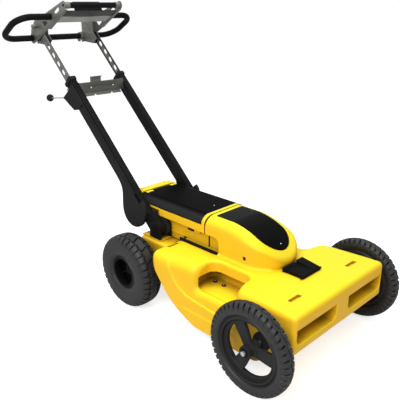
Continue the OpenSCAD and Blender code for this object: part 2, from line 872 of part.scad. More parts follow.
// Recess along the foot of the console, grown by t
module foot_recess(t) extrude_x(neck_half_w - t, console_half_w + overrun) {
  translate([neck_front_y - t, deck_z - overrun])
    square([seam_y, band_z + t - recess_r - deck_z + overrun]);
  translate([neck_front_y - t + recess_r, deck_z - overrun])
    square([seam_y, band_z + t - deck_z + overrun]);
  translate([neck_front_y - t + recess_r, band_z + t - recess_r]) circle(recess_r);
}

module window_plan(gap) {
  r = window_half_w + gap;
  tip = window_tip_y - gap;
  translate([0, tip + r]) circle(r);
  translate([-r, tip + r]) square([2 * r, window_rear_y + gap - tip - r]);
}

module bonnet() color("gold") place() difference() {
  bonnet_block(0);
  difference() {
    translate([0, 0, -overrun]) bonnet_block(shell_t);
    both_sides() foot_recess(shell_t);
  }
  both_sides() {
    foot_recess(0);
    translate([0, screw_y, screw_z]) {
      rod_x(screw_recess_r, console_half_w - screw_recess_d, console_half_w + overrun);
      rod_x(screw_shank_r + seat_gap, console_half_w - 2 * shell_t, console_half_w);
    }
  }
  difference() {
    translate([0, 0, deck_z]) linear_extrude(height = console_top_z) window_plan(pass_gap);
    extrude_x(-console_half_w, console_half_w) bonnet_side(window_t + pass_gap);
  }
}

module bonnet_window() color("#0c0c0c") place() difference() {
  intersection() {
    translate([0, 0, deck_z]) linear_extrude(height = console_top_z) window_plan(0);
    extrude_x(-console_half_w, console_half_w) bonnet_side(-window_proud);
  }
  extrude_x(-console_half_w, console_half_w) bonnet_side(window_t);
}

module bonnet_screws() color("#3a3020") place() both_sides() translate([0, screw_y, screw_z]) {
  rod_x(screw_head_r, console_half_w - screw_recess_d, console_half_w - screw_recess_d + screw_head_t);
  rod_x(screw_shank_r, console_half_w - 2 * shell_t, console_half_w - screw_recess_d);
}

// Fold hinge

bracket_out_x = arm_outer_x + outer_ear_gap + ear_t;

module hinge_ear(x0) translate([0, pivot_y, 0]) difference() {
  union() {
    slab(x0, x0 + ear_t, -ear_r, ear_r, tail_top_z, pivot_z);
    translate([0, 0, pivot_z]) rod_x(ear_r, x0, x0 + ear_t);
  }
  translate([0, 0, pivot_z]) rod_x(pin_r + seat_gap, x0 - overrun, x0 + ear_t + overrun);
}

// Bracket on the tail that carries one arm: base, two ears and the post that guides the pawl
module hinge_bracket() {
  slab(bracket_in_x, bracket_out_x, pivot_y - base_front, pivot_y + base_rear, tail_top_z,
    tail_top_z + base_t);
  hinge_ear(bracket_in_x);
  hinge_ear(bracket_out_x - ear_t);
  slab(disc_in_x, disc_in_x + pawl_w, pivot_y + disc_r + post_gap, pivot_y + disc_r + post_gap + post_l,
       tail_top_z, pivot_z - pawl_h / 2 - pass_gap);
}

module hinge_brackets() color("#1c1c1c") place() both_sides() hinge_bracket();

module hinge_pins() color("silver") place() both_sides() translate([0, pivot_y, pivot_z])
  rod_x(pin_r, bracket_in_x - pin_over, bracket_out_x + pin_over);

module toothed_disc() difference() {
  union() {
    rod_x(disc_r, disc_in_x, console_half_w);
    rod_x(disc_boss_r, disc_in_x, arm_inner_x);
  }
  rod_x(pin_r + run_gap, disc_in_x - overrun, arm_inner_x + overrun);
  for (i = [0 : disc_tooth_count - 1]) rotate([i * 360 / disc_tooth_count, 0, 0])
    translate([0, disc_r, 0]) rotate([45, 0, 0])
      slab(disc_in_x - overrun, console_half_w + overrun, -disc_tooth_d / 2,
        disc_tooth_d / 2, -disc_tooth_d / 2, disc_tooth_d / 2);
}

module toothed_discs() color("#202020") place() both_sides() translate([0, pivot_y, pivot_z])
  toothed_disc();

// Pawls that catch the toothed discs from behind
module lock_pawls() color("#444444") place() both_sides() translate([0, pivot_y, pivot_z]) {
  tip = disc_r + pawl_tip_gap;
  base = tip + disc_tooth_d / 2;
  extrude_x(disc_in_x, disc_in_x + pawl_w) {
    polygon([[tip, 0], [base, base - tip], [base, tip - base]]);
    translate([base, -pawl_h / 2]) square([pawl_l, pawl_h]);
  }
}

// Arms

arm_rear_n = arm_front_n + arm_d;

module arm_tube() difference() {
  union() {
    slab(arm_inner_x, arm_outer_x, arm_front_n, arm_rear_n, tube_start_s, arm_l);
    slab(arm_inner_x, arm_outer_x, lug_block_front_n, arm_rear_n - arm_t, 0, tube_start_s + arm_t);
    rod_x(lug_r, arm_inner_x, arm_outer_x);
  }
  slab(arm_inner_x + arm_t, arm_outer_x - arm_t, arm_front_n + arm_t, arm_rear_n - arm_t,
    tube_start_s + 2 * arm_t, arm_l + overrun);
  rod_x(pin_r + run_gap, arm_inner_x - overrun, arm_outer_x + overrun);
}

// Bore through the rear wall of the right arm for the telescope plunger
module plunger_bore() translate([plunger_x, 0, plunger_s]) rotate([-90, 0, 0])
  cylinder(r = plunger_pin_r + run_gap, h = 2 * arm_d);

module arm_left() color("#1a1a1a") place() arm_frame() arm_tube();

module arm_right() color("#1a1a1a") place() arm_frame() on_right() difference() {
  arm_tube();
  plunger_bore();
}

// Outer cover of an arm with the round lobe over the hinge
module arm_cover() {
  slab(arm_outer_x, arm_outer_x + cover_t, cover_front_n, cover_rear_n, lobe_s, cover_top_s);
  translate([0, lobe_n, lobe_s]) rod_x(lobe_r, arm_outer_x, arm_outer_x + lobe_t);
}

module arm_cover_left() color("#242424") place() arm_frame() arm_cover();
module arm_cover_right() color("#242424") place() arm_frame() on_right() arm_cover();

// Where the front edge of the lobe's rim crosses a cable
function lobe_edge_s(n) = lobe_s + sqrt(lobe_r * lobe_r - (lobe_n - n) * (lobe_n - n));

// Two control cables clipped along the outer face of the right arm, from the lever housing to the lobe
module release_cables() color("black") place() arm_frame() on_right()
  for (n = [cable_first_n, cable_first_n + cable_pitch])
  translate([arm_outer_x + cable_r + seat_gap, n, lobe_edge_s(n + cable_r) + pass_gap])
    cylinder(r = cable_r, h = cable_top_s - lobe_edge_s(n + cable_r) - pass_gap);

module arm_collar() difference() {
  slab(arm_inner_x - collar_t, arm_outer_x + collar_t, arm_front_n - collar_t, arm_rear_n + collar_t,
    arm_l, arm_l + collar_l);
  slab(strip_in_x - collar_slip, strip_out_x + collar_slip, strip_front_n - collar_slip,
       strip_front_n + strip_d + collar_slip, arm_l - overrun, arm_l + collar_l + overrun);
}

module arm_collars() color("#151515") place() arm_frame() both_sides() arm_collar();

// Upright plate between the arms, with a slanted lower lip and an end tab on each arm
module crossbar_frame() arm_frame() translate([0, crossbar_n, crossbar_s]) rotate([arm_lean, 0, 0])
  children();

module crossbar() color("#55544f") place() crossbar_frame() difference() {
  union() {
    slab(-arm_inner_x, arm_inner_x, 0, crossbar_t, -crossbar_h / 2, crossbar_h / 2);
    translate([0, 0, -crossbar_h / 2]) rotate([-45, 0, 0])
      slab(-arm_inner_x + tab_w, arm_inner_x - tab_w, 0, crossbar_t, -lip_l, crossbar_t);
    both_sides() slab(arm_inner_x - crossbar_t, arm_inner_x, 0, tab_w, -crossbar_h / 2, crossbar_h / 2);
  }
  both_sides() {
    translate([0, 0, -crossbar_h / 2]) rotate([-45, 0, 0])
      slab(notch_x - notch_w / 2, notch_x + notch_w / 2, -overrun,
        crossbar_t + overrun, -lip_l - overrun, -lip_l / 2);
    translate([accessory_x, -overrun, 0]) rotate([-90, 0, 0])
      cylinder(r = accessory_hole_r, h = crossbar_t + 2 * overrun);
  }
}

// Cable hook on the top edge of the crossbar
module cable_hook() color("#6a6862") place() crossbar_frame() translate([hook_x, 0, crossbar_h / 2]) {
  slab(0, hook_w, 0, hook_t, 0, hook_h);
  slab(0, hook_w, -hook_return, 0, hook_h - hook_t, hook_h);
  slab(0, hook_t, -hook_return, 0, hook_h / 2, hook_h - hook_t);
}

module crossbar_screws() color("silver") place() crossbar_frame() both_sides()
  for (z = [-tab_screw_offset, tab_screw_offset]) translate([0, tab_w / 2 + crossbar_t, z])
    rod_x(tab_screw_r, arm_inner_x - crossbar_t - tab_screw_t, arm_inner_x - crossbar_t);

// Wedge housing of the release lever on the rear face of the right arm
module lever_housing() color("#1c1c1c") place() arm_frame() on_right() {
  mid = (arm_inner_x + arm_outer_x) / 2;
  difference() {
    union() {
      slab(arm_outer_x, arm_outer_x + cover_t, 0, arm_rear_n + overrun, housing_low_s, housing_high_s);
      extrude_x(arm_inner_x, arm_outer_x + cover_t)
        polygon([[arm_rear_n, housing_low_s], [housing_mid_n, housing_mid_s],
                 [housing_tip_n, housing_tip_s], [arm_rear_n, housing_high_s]]);
    }
    slab(mid - lever_slot_w / 2, mid + lever_slot_w / 2, lever_slot_n, housing_tip_n + overrun,
      lever_slot_s, housing_tip_s + overrun);
  }
  translate([0, lever_n, lever_s]) rod_x(lever_pin_r, mid - lever_slot_w / 2, mid + lever_slot_w / 2);
}

module lever_place() arm_frame() on_right() translate([(arm_inner_x + arm_outer_x) / 2, lever_n, lever_s])
  rotate([rod_angle, 0, 0]) children();

module release_lever() color("silver") place() lever_place() difference() {
  union() {
    rod_x(lever_boss_r, -lever_w / 2, lever_w / 2);
    rotate([-90, 0, 0]) cylinder(r = rod_r, h = rod_l);
  }
  rod_x(lever_pin_r + run_gap, -lever_w, lever_w);
}

module lever_knob() color("#2a2a2a") place() lever_place() difference() {
  translate([0, rod_l + rod_r, 0]) sphere(r = knob_r);
  rotate([-90, 0, 0]) cylinder(r = rod_r + seat_gap, h = rod_l + seat_gap);
}

// Spring plunger that bears on the rear flange of the right strip
module telescope_plunger() color("silver") place() arm_frame() on_right()
  translate([plunger_x, strip_front_n + strip_d + pass_gap, plunger_s])
    rotate([-90, 0, 0]) {
    cylinder(r = plunger_pin_r, h = arm_rear_n - strip_front_n - strip_d + plunger_sleeve_gap);
    translate([0, 0, arm_rear_n - strip_front_n - strip_d])
      cylinder(r = plunger_knob_r, h = plunger_knob_l);
  }

// Telescopic strips

strip_out_x = arm_outer_x - arm_t - strip_out_gap;
strip_in_x = strip_out_x - strip_w;
plunger_x = strip_out_x - strip_edge_w / 2;

// Channel with its slotted web outboard, lying in the arm; its flanges are deep only at the head and foot
module strip() difference() {
  slab(strip_in_x, strip_out_x, strip_front_n, strip_front_n + strip_d, strip_top_s - strip_l, strip_top_s);
  slab(strip_in_x - overrun, strip_out_x - strip_t, strip_front_n + strip_t,
    strip_front_n + strip_d - strip_t,
       strip_top_s - strip_l - overrun, strip_top_s + overrun);
  slab(strip_in_x - overrun, strip_out_x - strip_edge_w, strip_front_n - overrun,
    strip_front_n + strip_d + overrun, strip_top_s - strip_l + strip_foot_l, quadrant_foot_s - pass_gap);
  for (i = [0 : strip_slot_count - 1])
    translate([0, strip_front_n + strip_d / 2, first_slot_s - i * slot_pitch])
    extrude_x(strip_out_x - strip_t - overrun, strip_out_x + overrun) rotate([0, 0, 90])
      slot_outline(strip_slot_l, strip_slot_w);
  translate([0, strip_front_n + strip_d / 2, strip_hole_s])
    rod_x(strip_hole_r, strip_out_x - strip_t - overrun, strip_out_x + overrun);
}

module strip_left() color("#7d7b76") place() arm_frame() strip();
module strip_right() color("#7d7b76") place() arm_frame() on_right() strip();

// Handle

quadrant_out_x = strip_in_x;
quadrant_in_x = strip_in_x - quadrant_t;

function arm_point(n, s) = [pivot_y + n * cos(arm_lean) + s * sin(arm_lean),
  pivot_z - n * sin(arm_lean) + s * cos(arm_lean)];
strip_head = [for (p = [[strip_front_n, strip_top_s], [strip_front_n, quadrant_foot_s],
                        [strip_front_n + strip_d, quadrant_foot_s], [strip_front_n + strip_d, strip_top_s]])
              arm_point(p[0], p[1])];

// Quadrant on the strip's head: it carries the rear bar and has the arc of tilt holes round it
module quadrant_plate() difference() {
  extrude_x(quadrant_in_x, quadrant_out_x) {
    polygon([strip_head[0], strip_head[1], strip_head[2], [bar_y, bar_z - plate_margin],
             [bar_y, bar_z + plate_margin], [bar_y, bar_z + quadrant_arc_r + plate_margin / 2],
             [bar_y - quadrant_arc_r - plate_margin, bar_z + quadrant_arc_r + plate_margin / 2]]);
    translate([bar_y, bar_z]) circle(plate_margin - plate_t);
  }
  translate([0, bar_y, bar_z]) {
    rod_x(bar_r + run_gap, quadrant_in_x - overrun, quadrant_out_x + overrun);
    for (i = [0 : quadrant_hole_count - 1]) rotate([quadrant_first_angle + i * quadrant_pitch, 0, 0])
      translate([0, quadrant_arc_r, 0])
      rod_x(quadrant_hole_r, quadrant_in_x - overrun, quadrant_out_x + overrun);
  }
}

module quadrant_plates() color("#8a8883") place() both_sides() quadrant_plate();

// Saddle clamp round the rear bar on the inner face of a quadrant, with two nuts below its foot
module bar_saddle() translate([0, bar_y, bar_z]) {
  low = -bar_r - saddle_t;
  difference() {
    union() {
      rod_x(bar_r + saddle_t, quadrant_in_x - saddle_w, quadrant_in_x);
      slab(quadrant_in_x - saddle_w, quadrant_in_x, -saddle_half_l, saddle_half_l, low, low + saddle_t);
      for (y = [-saddle_nut_y, saddle_nut_y])
        translate([quadrant_in_x - saddle_w / 2, y, low - saddle_nut_l])
        cylinder(r = saddle_nut_r, h = saddle_nut_l + saddle_t / 2);
    }
    rod_x(bar_r + run_gap, quadrant_in_x - saddle_w - overrun, quadrant_in_x + overrun);
  }
}

module bar_saddles() color("#b5b3ae") place() both_sides() bar_saddle();

// Rounded rectangular loop in the frame of the handle, drawn with tube radius r
module loop(r) {
  straight_x = loop_half_w - loop_bend_r;
  straight_y = loop_d - loop_bend_r;
  for (y = [0, -loop_d]) translate([0, y, 0]) rod_x(r, -straight_x, straight_x);
  both_sides() {
    translate([loop_half_w, -loop_bend_r, 0]) rotate([90, 0, 0])
      cylinder(r = r, h = loop_d - 2 * loop_bend_r);
    translate([straight_x, -loop_bend_r, 0]) rotate_extrude(angle = 90) translate([loop_bend_r, 0])
      circle(r);
    translate([straight_x, -straight_y, 0]) rotate([0, 0, -90]) rotate_extrude(angle = 90)
      translate([loop_bend_r, 0]) circle(r);
  }
}

module handlebar() color("#1d1d1d") place() handle_frame() difference() {
  loop(bar_r);
  loop(bar_r - bar_wall);
}

// Side plate of the tablet tray in (v, w), v running back along the loop and w up from it
module plate_outline() {
  difference() {
    union() {
      polygon([[plate_rear_v, -plate_low_w * plate_rear_shares[0]],
               [-plate_top_v * plate_rear_shares[1], -plate_low_w + bar_r],
               [-plate_top_v, plate_top_w], [-plate_mid_v, plate_mid_w],
               [-tray_reach, tray_bar_w + plate_tip_r], [-tray_reach, flange_w_pos],
               [-flange_start_v, flange_w_pos], [0, plate_low_w]]);
      translate([-tray_reach, tray_bar_w]) circle(plate_tip_r);
      circle(plate_margin);
    }
    polygon([for (i = [0 : 2]) [-tri_v_shares[i] * tray_reach, tri_w_shares[i] * plate_margin]]);
    for (v = [0, -loop_d]) translate([v, 0]) circle(bar_r + seat_gap);
    translate([-tray_reach, tray_bar_w]) circle(top_bar_r / 2 + seat_gap);
    translate([-(loop_d + tray_reach) / 2, tray_bar_w + strip_slot_w / 2])
      slot_outline(strip_slot_l + strip_slot_w, strip_slot_w);
    plunger_hole();
  }
}

plunger_angle = quadrant_first_angle + plunger_index * quadrant_pitch + loop_tilt;

module plunger_hole() rotate(plunger_angle) translate([quadrant_arc_r, 0]) circle(tilt_pin_r + run_gap);

module side_plate() {
  extrude_x(plate_x - plate_t, plate_x) plate_outline();
  slab(plate_x - flange_w, plate_x, -tray_reach, -flange_start_v, flange_w_pos - plate_t, flange_w_pos);
}

module side_plate_left() color("#8f8d88") place() handle_frame() side_plate();
module side_plate_right() color("#8f8d88") place() handle_frame() on_right() side_plate();

module top_bar() color("#1b1b1b") place() handle_frame() translate([0, -tray_reach, tray_bar_w]) {
  rod_x(top_bar_r, -plate_x + cap_l, plate_x - cap_l);
  rod_x(top_bar_r / 2, -plate_x, plate_x);
}

module top_bar_caps() color("#8f8d88") place() handle_frame() translate([0, -tray_reach, tray_bar_w])
  both_sides() difference() {
  rod_x(top_bar_r + cap_over, plate_x - cap_l, plate_x - plate_t);
  rod_x(top_bar_r / 2 + seat_gap, plate_x - cap_l - overrun, plate_x);
}

// Two slats that rest on the side plates' flanges
module slat(v, w) slab(-plate_x + plate_t + pass_gap, plate_x - plate_t - pass_gap, -v, -v + w,
  flange_w_pos, flange_w_pos + slat_t);

module tray_slats() color("#9a9893") place() handle_frame() {
  slat(front_slat_v, front_slat_w);
  slat(rear_slat_v, rear_slat_w);
}

module tablet_jaw() color("#1b1b1b") place() handle_frame()
  slab(-jaw_half_w, jaw_half_w, -jaw_v, -jaw_v + jaw_t, flange_w_pos + slat_t, jaw_top_w);

// Spring plunger that locks the tilt of the handle, through the right side plate
module tilt_plunger() color("#777570") place() handle_frame() on_right() rotate([plunger_angle, 0, 0])
  translate([0, quadrant_arc_r, 0]) {
  rod_x(tilt_pin_r, quadrant_out_x + pass_gap, plate_x + tilt_sleeve_l);
  rod_x(tilt_sleeve_r, plate_x + pass_gap, plate_x + tilt_sleeve_l);
  rod_x(tilt_knob_r, plate_x + tilt_sleeve_l, plate_x + tilt_sleeve_l + tilt_knob_l);
}

chassis_shell();
antenna_box();
skid_plate();
axle_bosses();
pocket_sockets();
console_housing();
bonnet();
bonnet_window();
bonnet_screws();
rear_trim();
battery_pack();
control_unit();
cover_pins();
front_axle();
front_bearings();
front_hub_bolts();
rear_axle();
rear_bearings();
encoder_sensor();
hinge_brackets();
hinge_pins();
battery_lid();
lid_catch();
deck_latch();
front_right_rim();
front_right_tyre();
front_left_rim();
front_left_tyre();
rear_right_rim();
rear_right_tyre();
rear_left_rim();
rear_left_tyre();
encoder_disc();
arm_right();
arm_left();
arm_cover_right();
arm_cover_left();
toothed_discs();
arm_collars();
crossbar();
cable_hook();
crossbar_screws();
lever_housing();
release_cables();
release_lever();
lever_knob();
lock_pawls();
telescope_plunger();
strip_right();
strip_left();
quadrant_plates();
bar_saddles();
handlebar();
side_plate_right();
side_plate_left();
top_bar();
top_bar_caps();
tray_slats();
tablet_jaw();
tilt_plunger();
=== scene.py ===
import json
import math

import bmesh
import bpy
import numpy as np
from mathutils import Matrix, Vector

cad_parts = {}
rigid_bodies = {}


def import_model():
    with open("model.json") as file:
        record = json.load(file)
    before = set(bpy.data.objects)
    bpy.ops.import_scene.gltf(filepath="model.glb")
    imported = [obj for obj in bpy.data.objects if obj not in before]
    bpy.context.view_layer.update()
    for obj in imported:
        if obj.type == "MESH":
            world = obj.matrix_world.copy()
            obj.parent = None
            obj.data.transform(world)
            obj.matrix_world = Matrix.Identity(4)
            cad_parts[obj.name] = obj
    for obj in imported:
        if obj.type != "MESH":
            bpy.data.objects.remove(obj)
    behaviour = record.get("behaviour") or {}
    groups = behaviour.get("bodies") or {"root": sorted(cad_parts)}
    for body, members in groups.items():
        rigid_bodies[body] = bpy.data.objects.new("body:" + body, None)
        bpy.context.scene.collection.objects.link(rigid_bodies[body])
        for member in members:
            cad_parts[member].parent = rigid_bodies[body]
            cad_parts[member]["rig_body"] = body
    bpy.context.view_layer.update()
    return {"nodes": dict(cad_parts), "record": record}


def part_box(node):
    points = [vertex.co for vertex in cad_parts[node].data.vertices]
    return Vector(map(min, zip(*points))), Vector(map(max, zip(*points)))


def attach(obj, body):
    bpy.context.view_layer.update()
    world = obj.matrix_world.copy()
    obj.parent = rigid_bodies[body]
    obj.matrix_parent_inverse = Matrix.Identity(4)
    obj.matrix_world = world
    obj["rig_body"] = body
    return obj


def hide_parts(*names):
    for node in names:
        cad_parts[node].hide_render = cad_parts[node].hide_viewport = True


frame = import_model()

# Lengths in this script are millimetres in the cart's own frame: y runs back from the front axle,
# z up from the ground, and the operator's right is -x. Objects are made in metres.
MM = 0.001
AXLE_LOW, AXLE_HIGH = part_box("front_axle")
SHIFT = np.array([0.0, (AXLE_LOW.y + AXLE_HIGH.y) / 2, 0.0])

# Radii of rounded edges and fillets, shared by many shapes
HAIR_R, FINE_R, CRISP_R, SMALL_R, SEAM_R, EDGE_R = 0.5, 1.0, 1.5, 2.0, 2.5, 3.0
SOFT_R, FILLET_R, BROAD_R, PLUMP_R, FULL_R, WIDE_R = 4.0, 5.0, 6.0, 8.0, 10.0, 14.0

# Front wheels
FRONT_TRACK = 330.0
FRONT_R = 158.0
FRONT_TYRE_W = 50.0
FRONT_RIM_R = 112.0
FRONT_OPENING_R = 91.0
FRONT_BED_R = 104.0
FRONT_FLANGE_T = 16.0
FRONT_RIM_W = 40.0
FRONT_HUB_R = 21.0
FRONT_HUB_IN = 26.0
FRONT_HUB_OUT = 29.7
FRONT_BORE_R = 16.05
SPOKE_COUNT = 3
SPOKE_ANGLE = 30.0
SPOKE_W = 44.0
SPOKE_T = 14.0
SPOKE_ENDS = (8.0, 96.0)
SPOKE_TAPER = 4.0
SPOKE_TAPER_AT = (30.0, 80.0)
SPOKE_WALL = 6.0
SPOKE_WEB_HALF = 5.0
CHANNEL_ENDS = (FRONT_HUB_R + 8.0, FRONT_OPENING_R - 6.0)
RIM_BOX_IN, RIM_BOX_OUT, RIM_BOX_R = 28.0, 31.0, 114.0
RIM_CELL = 2.2

# Rear wheels
REAR_TRACK = 252.0
REAR_Y = 695.0
REAR_R = 150.0
REAR_TYRE_W = 94.0
REAR_RIM_R = 62.0
REAR_BEAD_HALF = 40.0

# Tyre sections: squareness, spacing of the points on the tread and on the walls
FRONT_SECTION = (2.7, 1.9, 1.6)
REAR_SECTION = (3.4, 2.2, 5.0)
SECTION_TURN = math.pi * 0.80
SECTION_POINTS = 1200
TREAD_BAND = 14.0
BEAD_CLEAR = 2.0
BEAD_POINTS = 5
BEAD_SEAT = 0.02
TYRE_SHARP = math.radians(38)
FRONT_COLUMNS, REAR_COLUMNS = 960, 880
# Rings sunk into the walls: radius and depth
FRONT_RINGS = ((119.0, 2.2), (124.0, 0.7))
REAR_RINGS = ((REAR_RIM_R + 9.0, 1.0),)
RING_W = 1.0
RING_FROM = 8.0

# Treads: a groove is half its width and the width of its soft edge
FRONT_PITCH = 44
FRONT_DEPTH = 8.5
FRONT_TREAD_R = (FRONT_R - 24.0, FRONT_R - 15.0)
LUG_SLANT = 0.016
LUG_GROOVE = (2.3, 1.3)
LUG_START, LUG_SHORTER, LUG_SOFT = 4.5, 6.0, 2.0
RIB_WAVE = 3.0
RIB_GROOVE = (1.3, 1.3)
RIB_FADE = (5.0, 7.0)
RIB_SHARE = 0.5
REAR_PITCH = 34
REAR_DEPTH = 7.5
REAR_TREAD_R = (REAR_R - 27.0, REAR_R - 17.0)
ZIGZAG_AT = 19.0
ZIGZAG_WAVE = 2.6
ZIGZAG_GROOVE = (2.3, 1.8)
ZIGZAG_BAND = (18.0, 20.0)
OUTER_SLANT, OUTER_PHASE, OUTER_GROOVE = 0.004, 0.75, (2.0, 1.6)
MIDDLE_SLANT, MIDDLE_PHASE, MIDDLE_GROOVE = 0.009, 0.25, (2.1, 1.6)

# Body
DECK_Z = 289.0
BODY_HALF = 270.0
NOSE_Y = -120.0
NOSE_LOW_Z = 160.0
BELLY_Y = 30.0
SKIRT_Z = 62.0
DECK_REAR_Y = 556.0
ARCH = ((556.0, 240.0), (496.0, 141.0), (404.0, 71.0), (361.0, 62.0))
ARCH_BLEND_R = 70.0
STEP_BLEND_R = 110.0
CORNER_R = 40.0
NOSE_CORNER_R = 18.0
DECK_EDGE_R = 45.0
NOSE_EDGE_R = 18.0
EDGE_GROWN_Y = 170.0
EDGE_REAR_Y = (500.0, 556.0)
EDGE_REAR_LOSS = 0.6
BODY_WALL = 9.0
BODY_ROOM_Y = (40.0, 352.0)
BODY_ROOM_TOP_Z = 141.0

# Crease on the body's sides: depth of each step and where it runs, measured from the edge that it follows
CREASE_REAR_RATE, CREASE_LOW_RATE = 0.78, 0.85
CREASE_STEP, CREASE_BAND = 6.0, (74.0, 82.0)
CREST_STEP, CREST_BAND = 4.0, (80.0, 110.0)
SKIRT_STEP, SKIRT_BAND = 4.0, (54.0, 63.0)
SKIRT_END_Y = (370.0, 410.0)
CREASE_START_Y = (90.0, 150.0)

# Openings in the body
POCKET_IN_X = 152.0
POCKET_FRONT_Y = 140.0
POCKET_REAR_Y = 325.0
POCKET_FLOOR_Z = 196.0
POCKET_R = 36.0
POCKET_UNDER = 45.0
POCKET_LIP_Z = 246.0
POCKET_EDGE_R = 13.0
POCKET_MOUTH_R = 30.0
POCKET_MOUTH_X = (185.0, 240.0)
POCKET_CLOSE_X = 232.0
POCKET_RIM_X = (226.0, 240.0)
POCKET_RIM_RISE = 7.0
TROUGH_OUT_X = 122.0
SLOT_X = 169.0
SLOT_YS = (-43.0, 527.0)
SLOT_HALF_L, SLOT_HALF_W = 29.0, 7.5
SLOT_DEPTH = 11.5
HAND_IN_X, HAND_OUT_X = 36.0, 256.0
HAND_LOW_Z, HAND_TOP_Z = 188.0, 242.0
HAND_CORNER_R = 22.0
HAND_DEPTH = 60.0

# Tail
TAIL_HALF = 165.0
TAIL_FRONT_Y = 380.0
TAIL_END_Y = 735.0
TAIL_TOP_Z = 262.0
TAIL_LOW_Z = 112.0
TAIL_EDGE_R = 12.0
TAIL_WALL = 8.0
TAIL_ROOM_Y = 392.0

# Console and bonnet
CONSOLE_HALF = 115.0
CONSOLE_TOP_Z = 419.0
CONSOLE_WALL = 4.0
SHOULDER_W = 25.0
SHOULDER_H = 20.0
LID_Z = 384.0
BAND_Z = 350.0
BAND_STEP_Y = 675.0
BAND_STEP_Z = 374.0
SILL_LAP = 10.0
NECK_HALF = 88.0
NECK_FRONT_Y = 342.0
NECK_REAR_Y = 800.0
NECK_FOOT_RISE = 8.0
SEAM_Y = 415.0
SEAM_GAP = 4.0
SEAT_GAP = 0.3
ARCH_T = 16.0
CONSOLE_REAR_Y = 850.0
TIP_Y = 98.0
TIP_EDGE_R = 9.0
SHOULDER_RUN_Y = (TIP_Y + 10.0, TIP_Y + 160.0)
TOP_EDGE_GAIN, SHOULDER_EDGE_GAIN = 21.0, 9.0
ARC_Y = 330.0
ARC_R = 320.0
ARC_Z = CONSOLE_TOP_Z + 1.0 - ARC_R
FOOT_INSET = 1.5
FOOT_LOW_Z, FOOT_TOP_Z = 250.0, 318.0
FOOT_REAR_GAP = 3.0
FLARE_R, FLARE_GAIN, FLARE_X = 3.0, 13.0, (60.0, 85.0)
RECESS_R = 25.0
WINDOW_HALF = 73.0
WINDOW_TIP_Y = 126.0
WINDOW_REAR_Y = 392.0
WINDOW_PROUD, WINDOW_DEPTH, WINDOW_EDGE_R = 0.9, 2.7, 1.4
GUIDE_X, GUIDE_Y, GUIDE_Z = (-98.0, -86.0), (454.7, 486.7), (331.0, 347.0)
GASKET_OUT, GASKET_IN = 1.5, 7.0
GASKET_BITE, GASKET_LAP, GASKET_NECK = 1.0, 2.0, 6.0
# Black strip at the foot of the neck that stands for the shade in the trough: painted shade
SHADE_STRIP_T = 4.0
SHADE_STRIP_TOP_Z = 281.0
SHADE_STRIP_Y = (NECK_FRONT_Y + 2.0, DECK_REAR_Y + 20.0)

# Battery lid and rear trim
LID_AXIS_Y = 785.0
LID_END_R = 17.35
LID_AXIS_Z = CONSOLE_TOP_Z - LID_END_R
LID_GAP = 1.0
LID_WALL = 4.0
LID_ROOM_REAR_Y = 760.0
KNUCKLE_IN_X = 48.0
KNUCKLE_OUT_X = 84.0
KNUCKLE_PLAY = 0.5
TRIM_GAP = 0.7
SHELF_LAP = 4.0
DIMPLE_X, DIMPLE_Y, DIMPLE_UP, DIMPLE_R = 66.0, 831.0, 9.0, 15.0

# Deck latch
LATCH_HALF = 54.0
LATCH_FRONT_Y = 6.65
LATCH_REAR_Y = 94.0
LATCH_TOP_Z = 300.0
LATCH_RIM = 16.0
LATCH_RIM_RISE = 5.0
LATCH_RIM_R = 7.0
LATCH_BONNET_GAP = 4.0
WEDGE_IN_X = 15.0
WEDGE_SET_BACK = 4.0
WEDGE_REAR_Y = 88.0
WEDGE_LOW = 4.0
WEDGE_RISE = 12.0

# Small fittings: pilot lamps (name, body, place, radius), the sockets' contacts and the bonnet screws' cups
LAMPS = (
    ("window_lamp", "chassis", (0.0, 145.0, 362.0), 3.4),
    ("lid_lamp", "lid", (0.0, 472.0, 419.6), 2.6),
)
BUTTON_SIDES, BUTTON_RINGS = 24, 5
BUTTON_RISE, BUTTON_SINK = 0.5, 0.25
SOCKET_X = 147.0
SOCKET_YS = (281.0, 324.0)
CONTACT_RISE = 5.5
CONTACT_R = 3.4
SCREW_Y, SCREW_Z = 216.0, 315.0
SCREW_HOLE_R, SCREW_HOLE_DEPTH, SCREW_EDGE_R = 8.0, 4.0, 1.2
CUP_R = 7.6
CUP_SET_IN = 1.8

# Arms and their covers; n counts back from the hinge line, s up along the arm
PIVOT_Y = 655.0
PIVOT_Z = 310.0
ARM_LEAN = math.radians(45.9)
ARM_OUTER_X = 146.0
COVER_N, COVER_S = (16.0, 46.0), (110.0, 640.0)
COVER_CLEAR_N = 12.0
COVER_T = 8.0
COVER_THIN_S = (180.0, 300.0)
COVER_BOX_X, COVER_BOX_LOW, COVER_BOX_HIGH = (144, 162), (640, 250), (1150, 775)
COVER_CELL = 2.8
LOBE_N, LOBE_S, LOBE_R = 58.0, 122.0, 70.0
LOBE_EXTRA_T = 6.0
FAR = 1000.0

# Where the two finishes of a node meet
STRIP_SPLIT_X = 138.5
BRACKET_BASE_Z = 268.2
WASHER_FACE_X = 362.2

BODY_OF = {node: obj["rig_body"] for node, obj in frame["nodes"].items()}
SLOT_OF = {row["node"]: row["material_slot"] for row in frame["record"]["subparts"]}
REPLACED = set()


# Materials

PATCH_SCALE = 9.0
PATCH_DETAIL, GRAIN_DETAIL = 4.0, 3.0
GLOSS_COARSER = 6
GRAIN_STRENGTH = 0.25
CORNER_SAMPLES = 8
OPEN_FROM, OPEN_TO = 0.3, 0.85


def shader(name, **inputs):
    """New material with a Principled shader; inputs are the shader's own socket values."""
    mat = bpy.data.materials.new(name)
    mat.use_nodes = True
    bsdf = mat.node_tree.nodes["Principled BSDF"]
    for socket, value in inputs.items():
        bsdf.inputs[socket.replace("_", " ")].default_value = value
    return mat, mat.node_tree.nodes, mat.node_tree.links, bsdf


